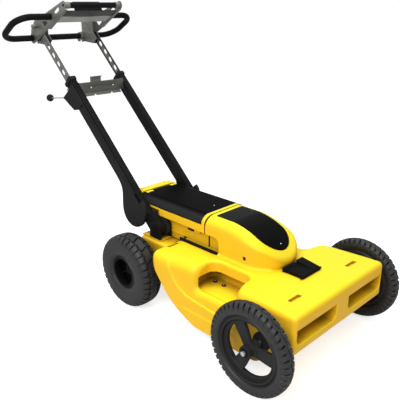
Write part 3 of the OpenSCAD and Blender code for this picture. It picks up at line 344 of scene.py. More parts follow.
def noise(nodes, links, coords, scale, detail, stretch=(1, 1, 1)):
    """Noise texture in object space, stretched along an axis where a finish has a grain."""
    place = nodes.new("ShaderNodeMapping")
    place.inputs["Scale"].default_value = stretch
    links.new(coords.outputs["Object"], place.inputs["Vector"])
    tex = nodes.new("ShaderNodeTexNoise")
    tex.inputs["Scale"].default_value = scale
    tex.inputs["Detail"].default_value = detail
    links.new(place.outputs["Vector"], tex.inputs["Vector"])
    return tex.outputs["Fac"]


def ramp_colour(nodes, links, factor, first, second, low=0.35, high=0.65):
    """Colour that goes from first to second as the factor goes from low to high."""
    ramp = nodes.new("ShaderNodeValToRGB")
    ramp.color_ramp.elements[0].position = low
    ramp.color_ramp.elements[0].color = (*first, 1)
    ramp.color_ramp.elements[1].position = high
    ramp.color_ramp.elements[1].color = (*second, 1)
    links.new(factor, ramp.inputs["Fac"])
    return ramp.outputs["Color"]


def map_range(nodes, links, value, **ends):
    """Map Range node on a value; ends are its own socket values."""
    scaled = nodes.new("ShaderNodeMapRange")
    for socket, end in ends.items():
        scaled.inputs[socket.replace("_", " ")].default_value = end
    links.new(value, scaled.inputs["Value"])
    return scaled.outputs["Result"]


def math_node(nodes, links, operation, first, second):
    """Math node on two sockets."""
    node = nodes.new("ShaderNodeMath")
    node.operation = operation
    links.new(first, node.inputs[0])
    links.new(second, node.inputs[1])
    return node.outputs["Value"]


def finish(name, first, second, rough, grain_scale, grain_depth, specular, metallic=0.0, stretch=(1, 1, 1)):
    """Surface with slow colour patches, uneven gloss and a fine grain."""
    mat, nodes, links, bsdf = shader(name, Specular_IOR_Level=specular, Metallic=metallic)
    coords = nodes.new("ShaderNodeTexCoord")
    patches = noise(nodes, links, coords, PATCH_SCALE, PATCH_DETAIL)
    links.new(ramp_colour(nodes, links, patches, first, second), bsdf.inputs["Base Color"])
    grain = noise(nodes, links, coords, grain_scale, GRAIN_DETAIL, stretch)
    uneven = noise(nodes, links, coords, grain_scale / GLOSS_COARSER, GRAIN_DETAIL, stretch)
    gloss = map_range(nodes, links, uneven, To_Min=rough[0], To_Max=rough[1])
    links.new(gloss, bsdf.inputs["Roughness"])
    bump = nodes.new("ShaderNodeBump")
    bump.inputs["Strength"].default_value = GRAIN_STRENGTH
    bump.inputs["Distance"].default_value = grain_depth
    links.new(grain, bump.inputs["Height"])
    links.new(bump.outputs["Normal"], bsdf.inputs["Normal"])
    return mat


def openness(nodes, reach):
    """How open a place lies, from 0 in a deep corner to 1."""
    corner = nodes.new("ShaderNodeAmbientOcclusion")
    corner.samples = CORNER_SAMPLES
    corner.inputs["Distance"].default_value = reach
    return corner.outputs["AO"]


def tint_base(nodes, links, colour):
    """Multiplies the base colour of a finish by another colour."""
    base = nodes["Principled BSDF"].inputs["Base Color"]
    mix = nodes.new("ShaderNodeMix")
    mix.data_type = "RGBA"
    mix.blend_type = "MULTIPLY"
    mix.inputs["Factor"].default_value = 1.0
    links.new(base.links[0].from_socket, mix.inputs["A"])
    links.new(colour, mix.inputs["B"])
    links.new(mix.outputs["Result"], base)


def paint_light_by_facing(name, top, side, low, high, reach):
    """Paints light into a finish: open upward faces get one tone and the sides another, for how the lamps
    fall on them.
    """
    nodes, links = MATERIALS[name].node_tree.nodes, MATERIALS[name].node_tree.links
    coords = nodes.new("ShaderNodeTexCoord")
    split = nodes.new("ShaderNodeSeparateXYZ")
    links.new(coords.outputs["Normal"], split.inputs["Vector"])
    open_share = map_range(nodes, links, openness(nodes, reach), From_Min=OPEN_FROM, From_Max=OPEN_TO)
    up = math_node(nodes, links, "MULTIPLY", split.outputs["Z"], open_share)
    tint_base(nodes, links, ramp_colour(nodes, links, up, side, top, low, high))


def paint_corner_shade(name, reach, tint, low, high):
    """Paints shade into the deep corners of a finish, where its base colour goes towards a darker tint."""
    nodes, links = MATERIALS[name].node_tree.nodes, MATERIALS[name].node_tree.links
    tint_base(nodes, links, ramp_colour(nodes, links, openness(nodes, reach), tint, (1, 1, 1), low, high))


# Finishes: two patch colours, range of roughness, scale and depth (m) of the grain, specular level,
# metallic share and stretch of the grain
FINISHES = {
    "yellow_shell": ((0.96, 0.97, 0.9), (1.0, 1.0, 1.0), (0.40, 0.50), 900, 0.0002, 0.2),
    "black_plastic": ((0.9, 0.9, 0.9), (1.0, 1.0, 1.0), (0.40, 0.55), 1100, 0.0003, 0.008),
    "gloss_window": ((0.003, 0.003, 0.0035), (0.004, 0.004, 0.0045), (0.10, 0.16), 500, 0.00002, 0.02),
    "wheel_plastic": ((0.006, 0.006, 0.0065), (0.009, 0.009, 0.0095), (0.38, 0.50), 900, 0.0003, 0.02),
    "rim_plastic": ((0.024, 0.024, 0.0245), (0.029, 0.029, 0.0295), (0.40, 0.52), 900, 0.0003, 0.05),
    "latch_plastic": ((0.0055, 0.0055, 0.006), (0.008, 0.008, 0.0085), (0.40, 0.55), 1100, 0.0003, 0.015),
    "tyre_rubber": ((0.010, 0.010, 0.0105), (0.014, 0.014, 0.0145), (0.46, 0.60), 700, 0.0004, 0.45),
    "bright_steel": ((0.52, 0.51, 0.49), (0.60, 0.59, 0.56), (0.28, 0.40), 700, 0.0001, 0.5, 1.0, (1, 8, 8)),
    "black_coated_metal": ((0.008, 0.008, 0.0085), (0.011, 0.011, 0.0115), (0.36, 0.48), 1500, 0.00025, 0.03),
    "grey_metal": ((0.175, 0.175, 0.160), (0.205, 0.205, 0.188), (0.42, 0.55), 300, 0.00003, 0.3, 0.55),
    # Dark metal: sealed bearings, and the tray's front slat, where it is painted shade under the bar and jaw
    "dark_metal": ((0.045, 0.045, 0.042), (0.06, 0.06, 0.056), (0.40, 0.52), 300, 0.00003, 0.2, 0.4),
    "mid_metal": ((0.095, 0.095, 0.086), (0.12, 0.12, 0.11), (0.40, 0.52), 300, 0.00003, 0.3, 0.5),
    # Pale metal: the tray's rear slat, a lit copy of the same metal: painted light
    "pale_metal": ((0.36, 0.36, 0.345), (0.42, 0.42, 0.40), (0.40, 0.52), 300, 0.00003, 0.3, 0.5),
}
MATERIALS = {name: finish(name, *row) for name, row in FINISHES.items()}
# Painted light: open tops of the yellow shell are lemon and its sides orange, as the lamps from above light
# them.
paint_light_by_facing("yellow_shell", (0.97, 0.86, 0.022), (0.95, 0.55, 0.016), low=0.35, high=0.95, reach=0.08)
# Painted shade: corners, slots and the pocket's undercut of the yellow shell go darker.
paint_corner_shade("yellow_shell", 0.08, (0.17, 0.16, 0.3), low=0.12, high=0.55)
# Painted light: black plastic is darker on top and paler on its sides, for the sheen on its shoulders.
paint_light_by_facing("black_plastic", (0.003, 0.003, 0.0035), (0.026, 0.026, 0.0265), low=0.82, high=0.97, reach=0.01)
# Painted shade: the hollows of the wheels and rims and the grooves of the tyres go darker.
paint_corner_shade("wheel_plastic", 0.08, (0.04, 0.04, 0.04), low=0.3, high=0.8)
paint_corner_shade("rim_plastic", 0.015, (0.1, 0.1, 0.1), low=0.3, high=0.8)
paint_corner_shade("tyre_rubber", 0.012, (0.1, 0.1, 0.1), low=0.35, high=0.85)


# Signed distance fields

def ramp(v, low, high):
    """0 below low, 1 above high, smooth between."""
    t = np.clip((v - low) / (high - low), 0.0, 1.0)
    return t * t * (3.0 - 2.0 * t)


def crest(v, low, high):
    """0 below low, 1 above high, with a crisp start at low."""
    t = np.clip((v - low) / (high - low), 0.0, 1.0)
    return t * (2.0 - t)


def span(v, low, high):
    return np.maximum(low - v, v - high)


def round_max(a, b, r):
    """Where both fields hold, with the edge between them rounded to radius r."""
    return np.minimum(np.maximum(a, b), -r) + np.hypot(np.maximum(a + r, 0), np.maximum(b + r, 0))


def round_min(a, b, r):
    """Where either field holds, with a fillet of radius r between them."""
    return np.maximum(np.minimum(a, b), r) - np.hypot(np.maximum(r - a, 0), np.maximum(r - b, 0))


def cut(a, b, r):
    return round_max(a, -b, r)


def box_field(u, v, w, spans, r):
    return round_max(round_max(span(u, *spans[0]), span(v, *spans[1]), r), span(w, *spans[2]), r)


def left_of(u, v, a, b):
    """Signed distance from the line a-b, positive on its left."""
    du, dv = b[0] - a[0], b[1] - a[1]
    return ((u - a[0]) * -dv + (v - a[1]) * du) / math.hypot(du, dv)


CORNERS = np.array([[i, j, k] for i in (0, 1) for j in (0, 1) for k in (0, 1)])
EDGES = [(a, b) for a in range(8) for b in range(a + 1, 8) if np.abs(CORNERS[a] - CORNERS[b]).sum() == 1]
GRID_BEFORE, GRID_AFTER = 1.5, 2.5
SLOPE_STEPS = 20
SETTLE_ROUNDS = 3
STEEP_FLOOR, LENGTH_FLOOR = 0.2, 1e-6


def slope(field, points, step):
    """Gradient of a field at points."""
    out = np.empty_like(points)
    for i in range(3):
        shift = np.zeros(3)
        shift[i] = step
        out[:, i] = (field(*(points + shift).T) - field(*(points - shift).T)) / (2 * step)
    return out


def net_quads(inside, index):
    """Quads of a surface net: one around each grid edge that the surface crosses."""
    quads = []
    for axis in range(3):
        e_u, e_v = np.eye(3, dtype=int)[(axis + 1) % 3], np.eye(3, dtype=int)[(axis + 2) % 3]
        first = np.take(inside, range(inside.shape[axis] - 1), axis)
        second = np.take(inside, range(1, inside.shape[axis]), axis)
        for leaving in (True, False):
            g = np.argwhere(first & ~second if leaving else second & ~first)
            ring = [g, g - e_u, g - e_u - e_v, g - e_v]
            ring = ring if leaving else ring[::-1]
            quads.append(np.stack([index[tuple(r.T)] for r in ring], axis=1))
    return np.concatenate(quads)


def net_points(field, axes, cell):
    """Surface net of a field on a grid: one point in each cell that the surface crosses, and the quads."""
    values = field(*np.meshgrid(*axes, indexing="ij", sparse=True))
    inside = values < 0
    shape = tuple(n - 1 for n in inside.shape)
    count = sum(inside[tuple(slice(c, c + n) for c, n in zip(corner, shape))].astype(np.int8)
                for corner in CORNERS)
    cells = np.argwhere((count > 0) & (count < 8))
    index = np.full(shape, -1)
    index[tuple(cells.T)] = np.arange(len(cells))
    at = np.stack([values[tuple((cells + corner).T)] for corner in CORNERS], axis=1)
    total = np.zeros((len(cells), 3))
    hits = np.zeros((len(cells), 1))
    for a, b in EDGES:
        crossed = (at[:, a] < 0) != (at[:, b] < 0)
        share = np.where(crossed, at[:, a] / np.where(crossed, at[:, a] - at[:, b], 1), 0)
        total += crossed[:, None] * (CORNERS[a] + share[:, None] * (CORNERS[b] - CORNERS[a]))
        hits += crossed[:, None]
    points = np.array([axis[0] for axis in axes]) + (cells + total / hits) * cell
    return points, net_quads(inside, index)


def settle(field, points, cell):
    """Moves the points of a net onto the surface and gives the surface's normals there."""
    step = cell / SLOPE_STEPS
    for _ in range(SETTLE_ROUNDS):
        normal = slope(field, points, step)
        push = field(*points.T)[:, None] * normal / np.maximum((normal ** 2).sum(1), STEEP_FLOOR)[:, None]
        reach = np.maximum(np.linalg.norm(push, axis=1) / (cell / 2), 1)[:, None]
        points = points - push / reach
    normal = slope(field, points, step)
    return points, normal / np.maximum(np.linalg.norm(normal, axis=1), LENGTH_FLOOR)[:, None]


def to_frame(points):
    return np.asarray(points, float) * MM + SHIFT


def new_object(name, points, faces):
    mesh = bpy.data.meshes.new(name)
    mesh.from_pydata(points.tolist(), [], faces.tolist() if hasattr(faces, "tolist") else faces)
    obj = bpy.data.objects.new(name, mesh)
    bpy.context.scene.collection.objects.link(obj)
    return obj


def dress(obj, node):
    """Makes obj stand for a CAD node: same body, same material slot."""
    slot = SLOT_OF[node]
    obj.data.materials.append(MATERIALS[slot])
    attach(obj, BODY_OF[node])
    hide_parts(node)
    REPLACED.add(node)


def meshed(name, field, low, high, cell):
    """Meshes a field between two corners."""
    axes = [np.arange(a - GRID_BEFORE * cell, b + GRID_AFTER * cell, cell) for a, b in zip(low, high)]
    points, quads = net_points(field, axes, cell)
    points, normals = settle(field, points, cell)
    obj = new_object(name, to_frame(points), quads)
    obj.data.shade_smooth()
    obj.data.normals_split_custom_set_from_vertices(normals.tolist())
    return obj


def moulding(node, field, low, high, cell):
    """Meshes a field and lets it stand for a CAD node."""
    dress(meshed(node + ".skin", field, low, high, cell), node)


def detail(obj, body, slot):
    """Makes obj a small piece of its own on a body."""
    obj.data.materials.append(MATERIALS[slot])
    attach(obj, body)


# Body

def bonnet_plan(x, y):
    centre = TIP_Y + CONSOLE_HALF
    return np.where(y < centre, np.hypot(x, y - centre), np.abs(x)) - CONSOLE_HALF


def bonnet_top(y, z):
    arc = np.where(y < ARC_Y, np.hypot(y - ARC_Y, z - ARC_Z), z - ARC_Z) - ARC_R
    return np.maximum(arc, z - CONSOLE_TOP_Z)


def bonnet_hull(x, y, z):
    """Outside of the bonnet; the shoulder along its sides runs out towards the tip."""
    side, top = bonnet_plan(x, y), bonnet_top(y, z)
    back = ramp(y, *SHOULDER_RUN_Y)
    drop = SHOULDER_H * back
    shoulder = (drop * side + SHOULDER_W * top + SHOULDER_W * drop) / np.hypot(SHOULDER_W, drop)
    hull = round_max(side, top, TIP_EDGE_R + TOP_EDGE_GAIN * back)
    return round_max(hull, shoulder, TIP_EDGE_R + SHOULDER_EDGE_GAIN * back)


def arch_edge(y, z, blend):
    """Curved lower rear edge of the body's side, positive behind it."""
    edge = left_of(y, z, ARCH[0], ARCH[1])
    for a, b in zip(ARCH[1:], ARCH[2:]):
        edge = round_max(edge, left_of(y, z, a, b), blend)
    return edge


def side_steps(y, z):
    """How far the side steps in: one soft step parallel to the rear and lower edges, one along the skirt."""
    rear = round_max(CREASE_REAR_RATE * arch_edge(y, z, STEP_BLEND_R), y - DECK_REAR_Y, STEP_BLEND_R)
    edge = -round_max(rear, (SKIRT_Z - z) * CREASE_LOW_RATE, STEP_BLEND_R)
    upper = CREASE_STEP * ramp(edge, *CREASE_BAND) + CREST_STEP * crest(edge, *CREST_BAND)
    lower = SKIRT_STEP * ramp(z - SKIRT_Z, *SKIRT_BAND) * (1 - ramp(y, *SKIRT_END_Y))
    return (upper + lower) * ramp(y, *CREASE_START_Y)


def pocket_plan(ax, y, grow):
    walls = round_max(POCKET_IN_X - grow - ax, POCKET_FRONT_Y - y, POCKET_R)
    return round_max(walls, y - POCKET_REAR_Y - grow, POCKET_R)


def pocket_void(ax, y, z):
    """Tray in the side of the deck: below its lip it runs in under the deck, outboard it has a low rim."""
    floor = POCKET_FLOOR_Z + POCKET_RIM_RISE * ramp(ax, *POCKET_RIM_X) - z
    mouth = round_max(pocket_plan(ax, y, 0.0), floor, WIDE_R)
    under = round_max(pocket_plan(ax, y, POCKET_UNDER), ax - POCKET_CLOSE_X, POCKET_R)
    under = round_max(under, floor, WIDE_R)
    return np.minimum(mouth, round_max(under, z - POCKET_LIP_Z, SOFT_R))


def deck_slot(ax, y, z, at_y):
    outline = round_max(np.abs(ax - SLOT_X) - SLOT_HALF_L, np.abs(y - at_y) - SLOT_HALF_W, EDGE_R)
    return np.maximum(outline, DECK_Z - SLOT_DEPTH - z)


def nose_void(ax, y, z):
    """Opening in the nose for each hand, with round lower corners."""
    hands = round_max(span(ax, HAND_IN_X, HAND_OUT_X), HAND_LOW_Z - z, HAND_CORNER_R)
    return np.maximum(np.maximum(hands, z - HAND_TOP_Z), y - (NOSE_Y + HAND_DEPTH))


def body_hull(ax, y, z):
    """Body without its openings; the deck's edge is tighter at the nose and at the rear."""
    belly = left_of(y, z, (BELLY_Y, SKIRT_Z), (NOSE_Y, NOSE_LOW_Z))
    sides = ax - BODY_HALF + side_steps(y, z)
    plan = round_max(round_max(sides, NOSE_Y - y, NOSE_CORNER_R), y - DECK_REAR_Y, CORNER_R)
    tighter = 1 - EDGE_REAR_LOSS * ramp(y, *EDGE_REAR_Y)
    edge_r = NOSE_EDGE_R + (DECK_EDGE_R - NOSE_EDGE_R) * ramp(y, NOSE_Y, EDGE_GROWN_Y) * tighter
    body = round_max(plan, z - DECK_Z, edge_r)
    body = round_max(round_max(body, arch_edge(y, z, ARCH_BLEND_R), WIDE_R), belly, PLUMP_R)
    return round_max(body, SKIRT_Z - z, SOFT_R)


def bonnet_foot(x, y, z):
    """Core in the bonnet's foot, up to which the deck flares."""
    foot = np.maximum(bonnet_hull(x, y, z) + FOOT_INSET, z - FOOT_TOP_Z)
    return np.maximum(np.maximum(foot, y - NECK_FRONT_Y + FOOT_REAR_GAP), FOOT_LOW_Z - z)


def tail_field(ax, y, z):
    """Tail between the rear wheels, open underneath."""
    spans = ((-TAIL_HALF, TAIL_HALF), (TAIL_FRONT_Y, TAIL_END_Y), (TAIL_LOW_Z, TAIL_TOP_Z))
    room = np.maximum(ax - (TAIL_HALF - TAIL_WALL), span(y, TAIL_ROOM_Y, TAIL_END_Y - TAIL_WALL))
    room = np.maximum(room, z - (TAIL_TOP_Z - TAIL_WALL))
    return cut(box_field(ax, y, z, spans, TAIL_EDGE_R), room, EDGE_R)


def chassis_field(x, y, z):
    ax = np.abs(x)
    mouth_r = POCKET_EDGE_R + (POCKET_MOUTH_R - POCKET_EDGE_R) * ramp(ax, *POCKET_MOUTH_X)
    body = cut(body_hull(ax, y, z), pocket_void(ax, y, z), mouth_r)
    body = round_min(body, bonnet_foot(x, y, z), FLARE_R + FLARE_GAIN * ramp(ax, *FLARE_X))
    body = round_min(body, tail_field(ax, y, z), BROAD_R)
    body = cut(body, nose_void(ax, y, z), EDGE_R)
    for at_y in SLOT_YS:
        body = cut(body, deck_slot(ax, y, z, at_y), CRISP_R)
    trough = np.maximum(np.maximum(span(ax, NECK_HALF, TROUGH_OUT_X), NECK_FRONT_Y - y), TAIL_TOP_Z - z)
    body = cut(body, trough, EDGE_R)
    room = np.maximum(np.maximum(ax - (BODY_HALF - BODY_WALL), span(y, *BODY_ROOM_Y)), z - BODY_ROOM_TOP_Z)
    return cut(body, room, SMALL_R)


def bonnet_field(x, y, z):
    ax = np.abs(x)
    shape = round_max(bonnet_hull(x, y, z), y - (SEAM_Y - SEAM_GAP), SEAM_R)
    shape = np.maximum(shape, DECK_Z + SEAT_GAP - z)
    recess = round_max(round_max(NECK_FRONT_Y - y, z - BAND_Z, RECESS_R), NECK_HALF - ax, BROAD_R)
    shape = cut(shape, recess, EDGE_R)
    screw = np.hypot(y - SCREW_Y, z - SCREW_Z) - SCREW_HOLE_R
    return cut(shape, np.maximum(screw, CONSOLE_HALF - SCREW_HOLE_DEPTH - ax), SCREW_EDGE_R)


def window_field(x, y, z):
    centre = WINDOW_TIP_Y + WINDOW_HALF
    plan = np.where(y < centre, np.hypot(x, y - centre), np.abs(x)) - WINDOW_HALF
    plan = round_max(plan, y - WINDOW_REAR_Y, PLUMP_R)
    top = bonnet_top(y, z)
    return np.maximum(round_max(plan, top - WINDOW_PROUD, WINDOW_EDGE_R), -WINDOW_DEPTH - top)


def console_section(x, z, inset):
    """Section that console, lid and trim share, drawn in by inset."""
    top = z + inset - CONSOLE_TOP_Z
    side = np.abs(x) + inset - CONSOLE_HALF
    shoulder = SHOULDER_H * side + SHOULDER_W * top + SHOULDER_W * SHOULDER_H
    return round_max(np.maximum(side, top), shoulder / math.hypot(SHOULDER_W, SHOULDER_H), FULL_R)


def console_room(ax, y, z):
    """Space inside the console's neck and band."""
    front = SEAM_Y + ARCH_T
    room = np.maximum(ax - NECK_HALF + CONSOLE_WALL, span(y, front, NECK_REAR_Y - CONSOLE_WALL))
    tray = np.maximum(ax - CONSOLE_HALF + CONSOLE_WALL, span(y, front, BAND_STEP_Y - CONSOLE_WALL))
    room = np.maximum(room, DECK_Z + CONSOLE_WALL - z)
    return np.minimum(room, np.maximum(tray, BAND_Z + CONSOLE_WALL - z))


def console_field(x, y, z):
    """Console under the lid: front arch, band, sill and neck, and the guide of the lid's catch."""
    ax = np.abs(x)
    wide, narrow = (-CONSOLE_HALF, CONSOLE_HALF), (-NECK_HALF, NECK_HALF)
    arch = round_max(console_section(x, z, 0), span(y, SEAM_Y, SEAM_Y + ARCH_T), SEAM_R)
    arch = round_max(arch, BAND_Z - z, SMALL_R)
    sill_y, foot_z = (BAND_STEP_Y - SILL_LAP, CONSOLE_REAR_Y), (TAIL_TOP_Z, DECK_Z + NECK_FOOT_RISE)
    band = box_field(ax, y, z, (wide, (SEAM_Y, BAND_STEP_Y), (BAND_Z, LID_Z)), SOFT_R)
    sill = box_field(ax, y, z, (wide, sill_y, (BAND_STEP_Z, LID_Z)), EDGE_R)
    neck = box_field(ax, y, z, (narrow, (SEAM_Y, NECK_REAR_Y), (DECK_Z, LID_Z)), CRISP_R)
    foot = box_field(ax, y, z, (narrow, (DECK_REAR_Y, TAIL_END_Y), foot_z), BROAD_R)
    shape = round_min(np.minimum(band, sill), round_min(neck, foot, SOFT_R), BROAD_R)
    shape = np.minimum(cut(shape, console_room(ax, y, z), CRISP_R), arch)
    return np.minimum(shape, box_field(x, y, z, (GUIDE_X, GUIDE_Y, GUIDE_Z), SMALL_R))


def gasket_field(x, y, z):
    """Black gasket in the seam between bonnet and console; it bites a little into both."""
    ring = cut(console_section(x, z, GASKET_OUT), console_section(x, z, GASKET_IN), HAIR_R)
    ring = np.maximum(ring, BAND_Z + GASKET_BITE - z)
    neck = span(np.abs(x), NECK_HALF - GASKET_NECK, NECK_HALF + GASKET_BITE)
    neck = np.maximum(neck, span(z, DECK_Z, BAND_Z + GASKET_LAP))
    return np.maximum(np.minimum(ring, neck), span(y, SEAM_Y - SEAM_GAP - GASKET_BITE, SEAM_Y + GASKET_BITE))


def shade_strip_field(x, y, z):
    """Black strip along the foot of the console's neck, a painted shadow that stands for the shade in the
    trough there.
    """
    ax = np.abs(x)
    floor = np.maximum(span(ax, NECK_HALF, TROUGH_OUT_X), span(z, TAIL_TOP_Z, TAIL_TOP_Z + SHADE_STRIP_T))
    upstand = np.maximum(span(ax, NECK_HALF, NECK_HALF + SHADE_STRIP_T), span(z, TAIL_TOP_Z, SHADE_STRIP_TOP_Z))
    return round_max(np.minimum(floor, upstand), span(y, *SHADE_STRIP_Y), CRISP_R)


def lid_barrel(y, z):
    """Round end of the lid, about its hinge."""
    return np.hypot(y - LID_AXIS_Y, z - LID_AXIS_Z) - LID_END_R


def lid_field(x, y, z):
    front = SEAM_Y + ARCH_T + LID_GAP
    rear = np.where(y > LID_AXIS_Y, lid_barrel(y, z), y - LID_AXIS_Y - LID_END_R)
    shape = round_max(console_section(x, z, 0), front - y, EDGE_R)
    shape = np.maximum(round_max(shape, LID_Z + SEAT_GAP - z, SEAM_R), rear)
    room = np.maximum(console_section(x, z, LID_WALL), span(y, front + LID_WALL, LID_ROOM_REAR_Y))
    shape = cut(shape, room, FINE_R)
    knuckles = span(np.abs(x), KNUCKLE_IN_X - KNUCKLE_PLAY, KNUCKLE_OUT_X + KNUCKLE_PLAY)
    return cut(shape, np.maximum(lid_barrel(y, z) - KNUCKLE_PLAY, knuckles), FINE_R)


def trim_field(x, y, z):
    """Rear trim with the lid's two hinge knuckles and a dimple behind each."""
    ax = np.abs(x)
    front = LID_AXIS_Y + LID_END_R + TRIM_GAP
    shape = round_max(console_section(x, z, 0), y - CONSOLE_REAR_Y, FULL_R)
    shape = round_max(round_max(shape, front - y, SMALL_R), LID_Z - z, SMALL_R)
    shelf = np.maximum(span(y, LID_AXIS_Y, front + SHELF_LAP), span(z, LID_AXIS_Z - LID_END_R, LID_AXIS_Z))
    knuckle = np.minimum(lid_barrel(y, z), shelf)
    knuckle = round_max(knuckle, span(ax, KNUCKLE_IN_X, KNUCKLE_OUT_X), SMALL_R)
    above = z - CONSOLE_TOP_Z - DIMPLE_UP
    dimple = np.sqrt((ax - DIMPLE_X) ** 2 + (y - DIMPLE_Y) ** 2 + above ** 2) - DIMPLE_R
    return cut(round_min(shape, knuckle, FINE_R), dimple, CRISP_R)


def latch_field(x, y, z):
    """Paddle with a raised rim at the rear and a wedge on its left half."""
    low = DECK_Z + SEAT_GAP
    plate_spans = ((-LATCH_HALF, LATCH_HALF), (LATCH_FRONT_Y, LATCH_REAR_Y), (low, LATCH_TOP_Z))
    rim_y, rim_z = (LATCH_REAR_Y - LATCH_RIM, LATCH_REAR_Y), (low, LATCH_TOP_Z + LATCH_RIM_RISE)
    plate = box_field(x, y, z, plate_spans, SOFT_R)
    rim = box_field(x, y, z, ((-LATCH_HALF, WEDGE_IN_X), rim_y, rim_z), LATCH_RIM_R)
    rise = z - (LATCH_TOP_Z + WEDGE_RISE * (y - LATCH_FRONT_Y) / (WEDGE_REAR_Y - LATCH_FRONT_Y))
    wedge_y = span(y, LATCH_FRONT_Y + WEDGE_SET_BACK, WEDGE_REAR_Y)
    wedge = round_max(span(x, WEDGE_IN_X, LATCH_HALF), wedge_y, SOFT_R)
    wedge = round_max(wedge, np.maximum(rise, DECK_Z + WEDGE_LOW - z), EDGE_R)
    shape = round_min(round_min(plate, rim, PLUMP_R), wedge, SMALL_R)
    bonnet = np.hypot(x, y - TIP_Y - CONSOLE_HALF) - CONSOLE_HALF - LATCH_BONNET_GAP
    return cut(shape, bonnet, SMALL_R)


def arm_axes(y, z):
    """Distance behind the arm's hinge line and height along the arm."""
    c, s = math.cos(ARM_LEAN), math.sin(ARM_LEAN)
    return (y - PIVOT_Y) * c - (z - PIVOT_Z) * s, (y - PIVOT_Y) * s + (z - PIVOT_Z) * c


def cover_field(side):
    """Cover on the outside of an arm, with a round lobe at its foot."""
    def field(x, y, z):
        n, s = arm_axes(y, z)
        strip = round_max(span(n, *COVER_N), span(s, *COVER_S), FILLET_R)
        lobe = np.hypot(n - LOBE_N, s - LOBE_S) - LOBE_R
        outline = round_min(strip, lobe, LOBE_R)
        front_above_lobe = COVER_CLEAR_N - n - FAR * (s < LOBE_S)
        outline = np.maximum(outline, front_above_lobe)
        thick = COVER_T + LOBE_EXTRA_T * (1 - ramp(s, *COVER_THIN_S))
        plate = round_max(outline, side * x - ARM_OUTER_X - thick, SOFT_R)
        return round_max(plate, ARM_OUTER_X - side * x, FINE_R)
    return field


def button(name, place, r, side=0):
    """Small domed disc that faces up, or to one side where side is -1 or 1."""
    count, rings = BUTTON_SIDES, BUTTON_RINGS
    rise = np.linspace(0, math.pi / 2, rings)[:, None]
    turn = np.arange(count)[None, :] * 2 * math.pi / count
    across = np.stack([r * np.cos(rise) * np.cos(turn), r * np.cos(rise) * np.sin(turn)], axis=-1)
    height = np.broadcast_to(r * BUTTON_RISE * np.sin(rise) - r * BUTTON_SINK, (rings, count))[..., None]
    points = np.concatenate([across, height], axis=-1).reshape(-1, 3)
    if side:
        points = np.stack([side * points[:, 2], side * points[:, 0], points[:, 1]], axis=-1)
    faces = [[i * count + j, i * count + (j + 1) % count,
              (i + 1) * count + (j + 1) % count, (i + 1) * count + j]
             for i in range(rings - 1) for j in range(count)]
    obj = new_object(name, to_frame(points + np.array(place)), faces)
    obj.data.shade_smooth()
    return obj


# Fields that stand for a CAD node, then a gasket and a black strip of painted shadow of their own: low
# corner, high corner, grid cell
MOULDINGS = (
    ("chassis_shell", chassis_field, (-272, -122, 60), (272, 738, 332), 3.6),
    ("bonnet", bonnet_field, (-117, 96, 288), (117, 413, 421), 2.6),
    ("bonnet_window", window_field, (-75, 114, 330), (75, 394, 421), 2.0),
    ("console_housing", console_field, (-117, 413, 260), (117, 852, 421), 2.6),
    ("battery_lid", lid_field, (-117, 430, 382), (117, 805, 421), 2.4),
    ("rear_trim", trim_field, (-117, 765, 382), (117, 852, 421), 2.0),
    ("deck_latch", latch_field, (-56, 4, 287), (56, 97, 314), 1.5),
)
GASKET_AND_SHADE_STRIP = (
    ("seam_gasket", gasket_field, (-117, 408, 288), (117, 418, 421), 1.5),
    ("neck_seal", shade_strip_field, (-124, 342, 260), (124, 578, 283), 2.0),
)


def build_fittings():
    for name, body, place, r in LAMPS:
        detail(button(name, place, r), body, "bright_steel")
    for i, y in enumerate(SOCKET_YS):
        place = (-SOCKET_X, y, POCKET_FLOOR_Z + CONTACT_RISE)
        detail(button(f"socket_contact_{i}", place, CONTACT_R), "chassis", "bright_steel")
    for side in (-1, 1):
        place = (side * (CONSOLE_HALF - CUP_SET_IN), SCREW_Y, SCREW_Z)
        detail(button(f"screw_cup_{side + 1}", place, CUP_R, side), "chassis", "black_plastic")


def build_body():
    for row in MOULDINGS:
        moulding(*row)
    build_fittings()
    # The gasket, and the black strip that paints the shadow along the neck's foot
    for row in GASKET_AND_SHADE_STRIP:
        detail(meshed(*row), "chassis", "black_plastic")
    for node, side in (("arm_cover_right", -1), ("arm_cover_left", 1)):
        x = sorted(side * edge for edge in COVER_BOX_X)
        moulding(node, cover_field(side), (x[0], *COVER_BOX_LOW), (x[1], *COVER_BOX_HIGH), COVER_CELL)


# Wheels

def spoke(up, back, out, angle):
    """One channel spoke of a front wheel."""
    along = up * math.cos(angle) + back * math.sin(angle)
    across = np.abs(back * math.cos(angle) - up * math.sin(angle))
    half = SPOKE_W / 2 - SPOKE_TAPER * (1 - ramp(along, *SPOKE_TAPER_AT))
    bar = round_max(across - half, np.abs(out) - SPOKE_T / 2, SEAM_R)
    bar = round_max(bar, span(along, *SPOKE_ENDS), SMALL_R)
    channel = np.maximum(across - half + SPOKE_WALL, SPOKE_WEB_HALF - np.abs(out))
    return cut(bar, np.maximum(channel, span(along, *CHANNEL_ENDS)), CRISP_R)


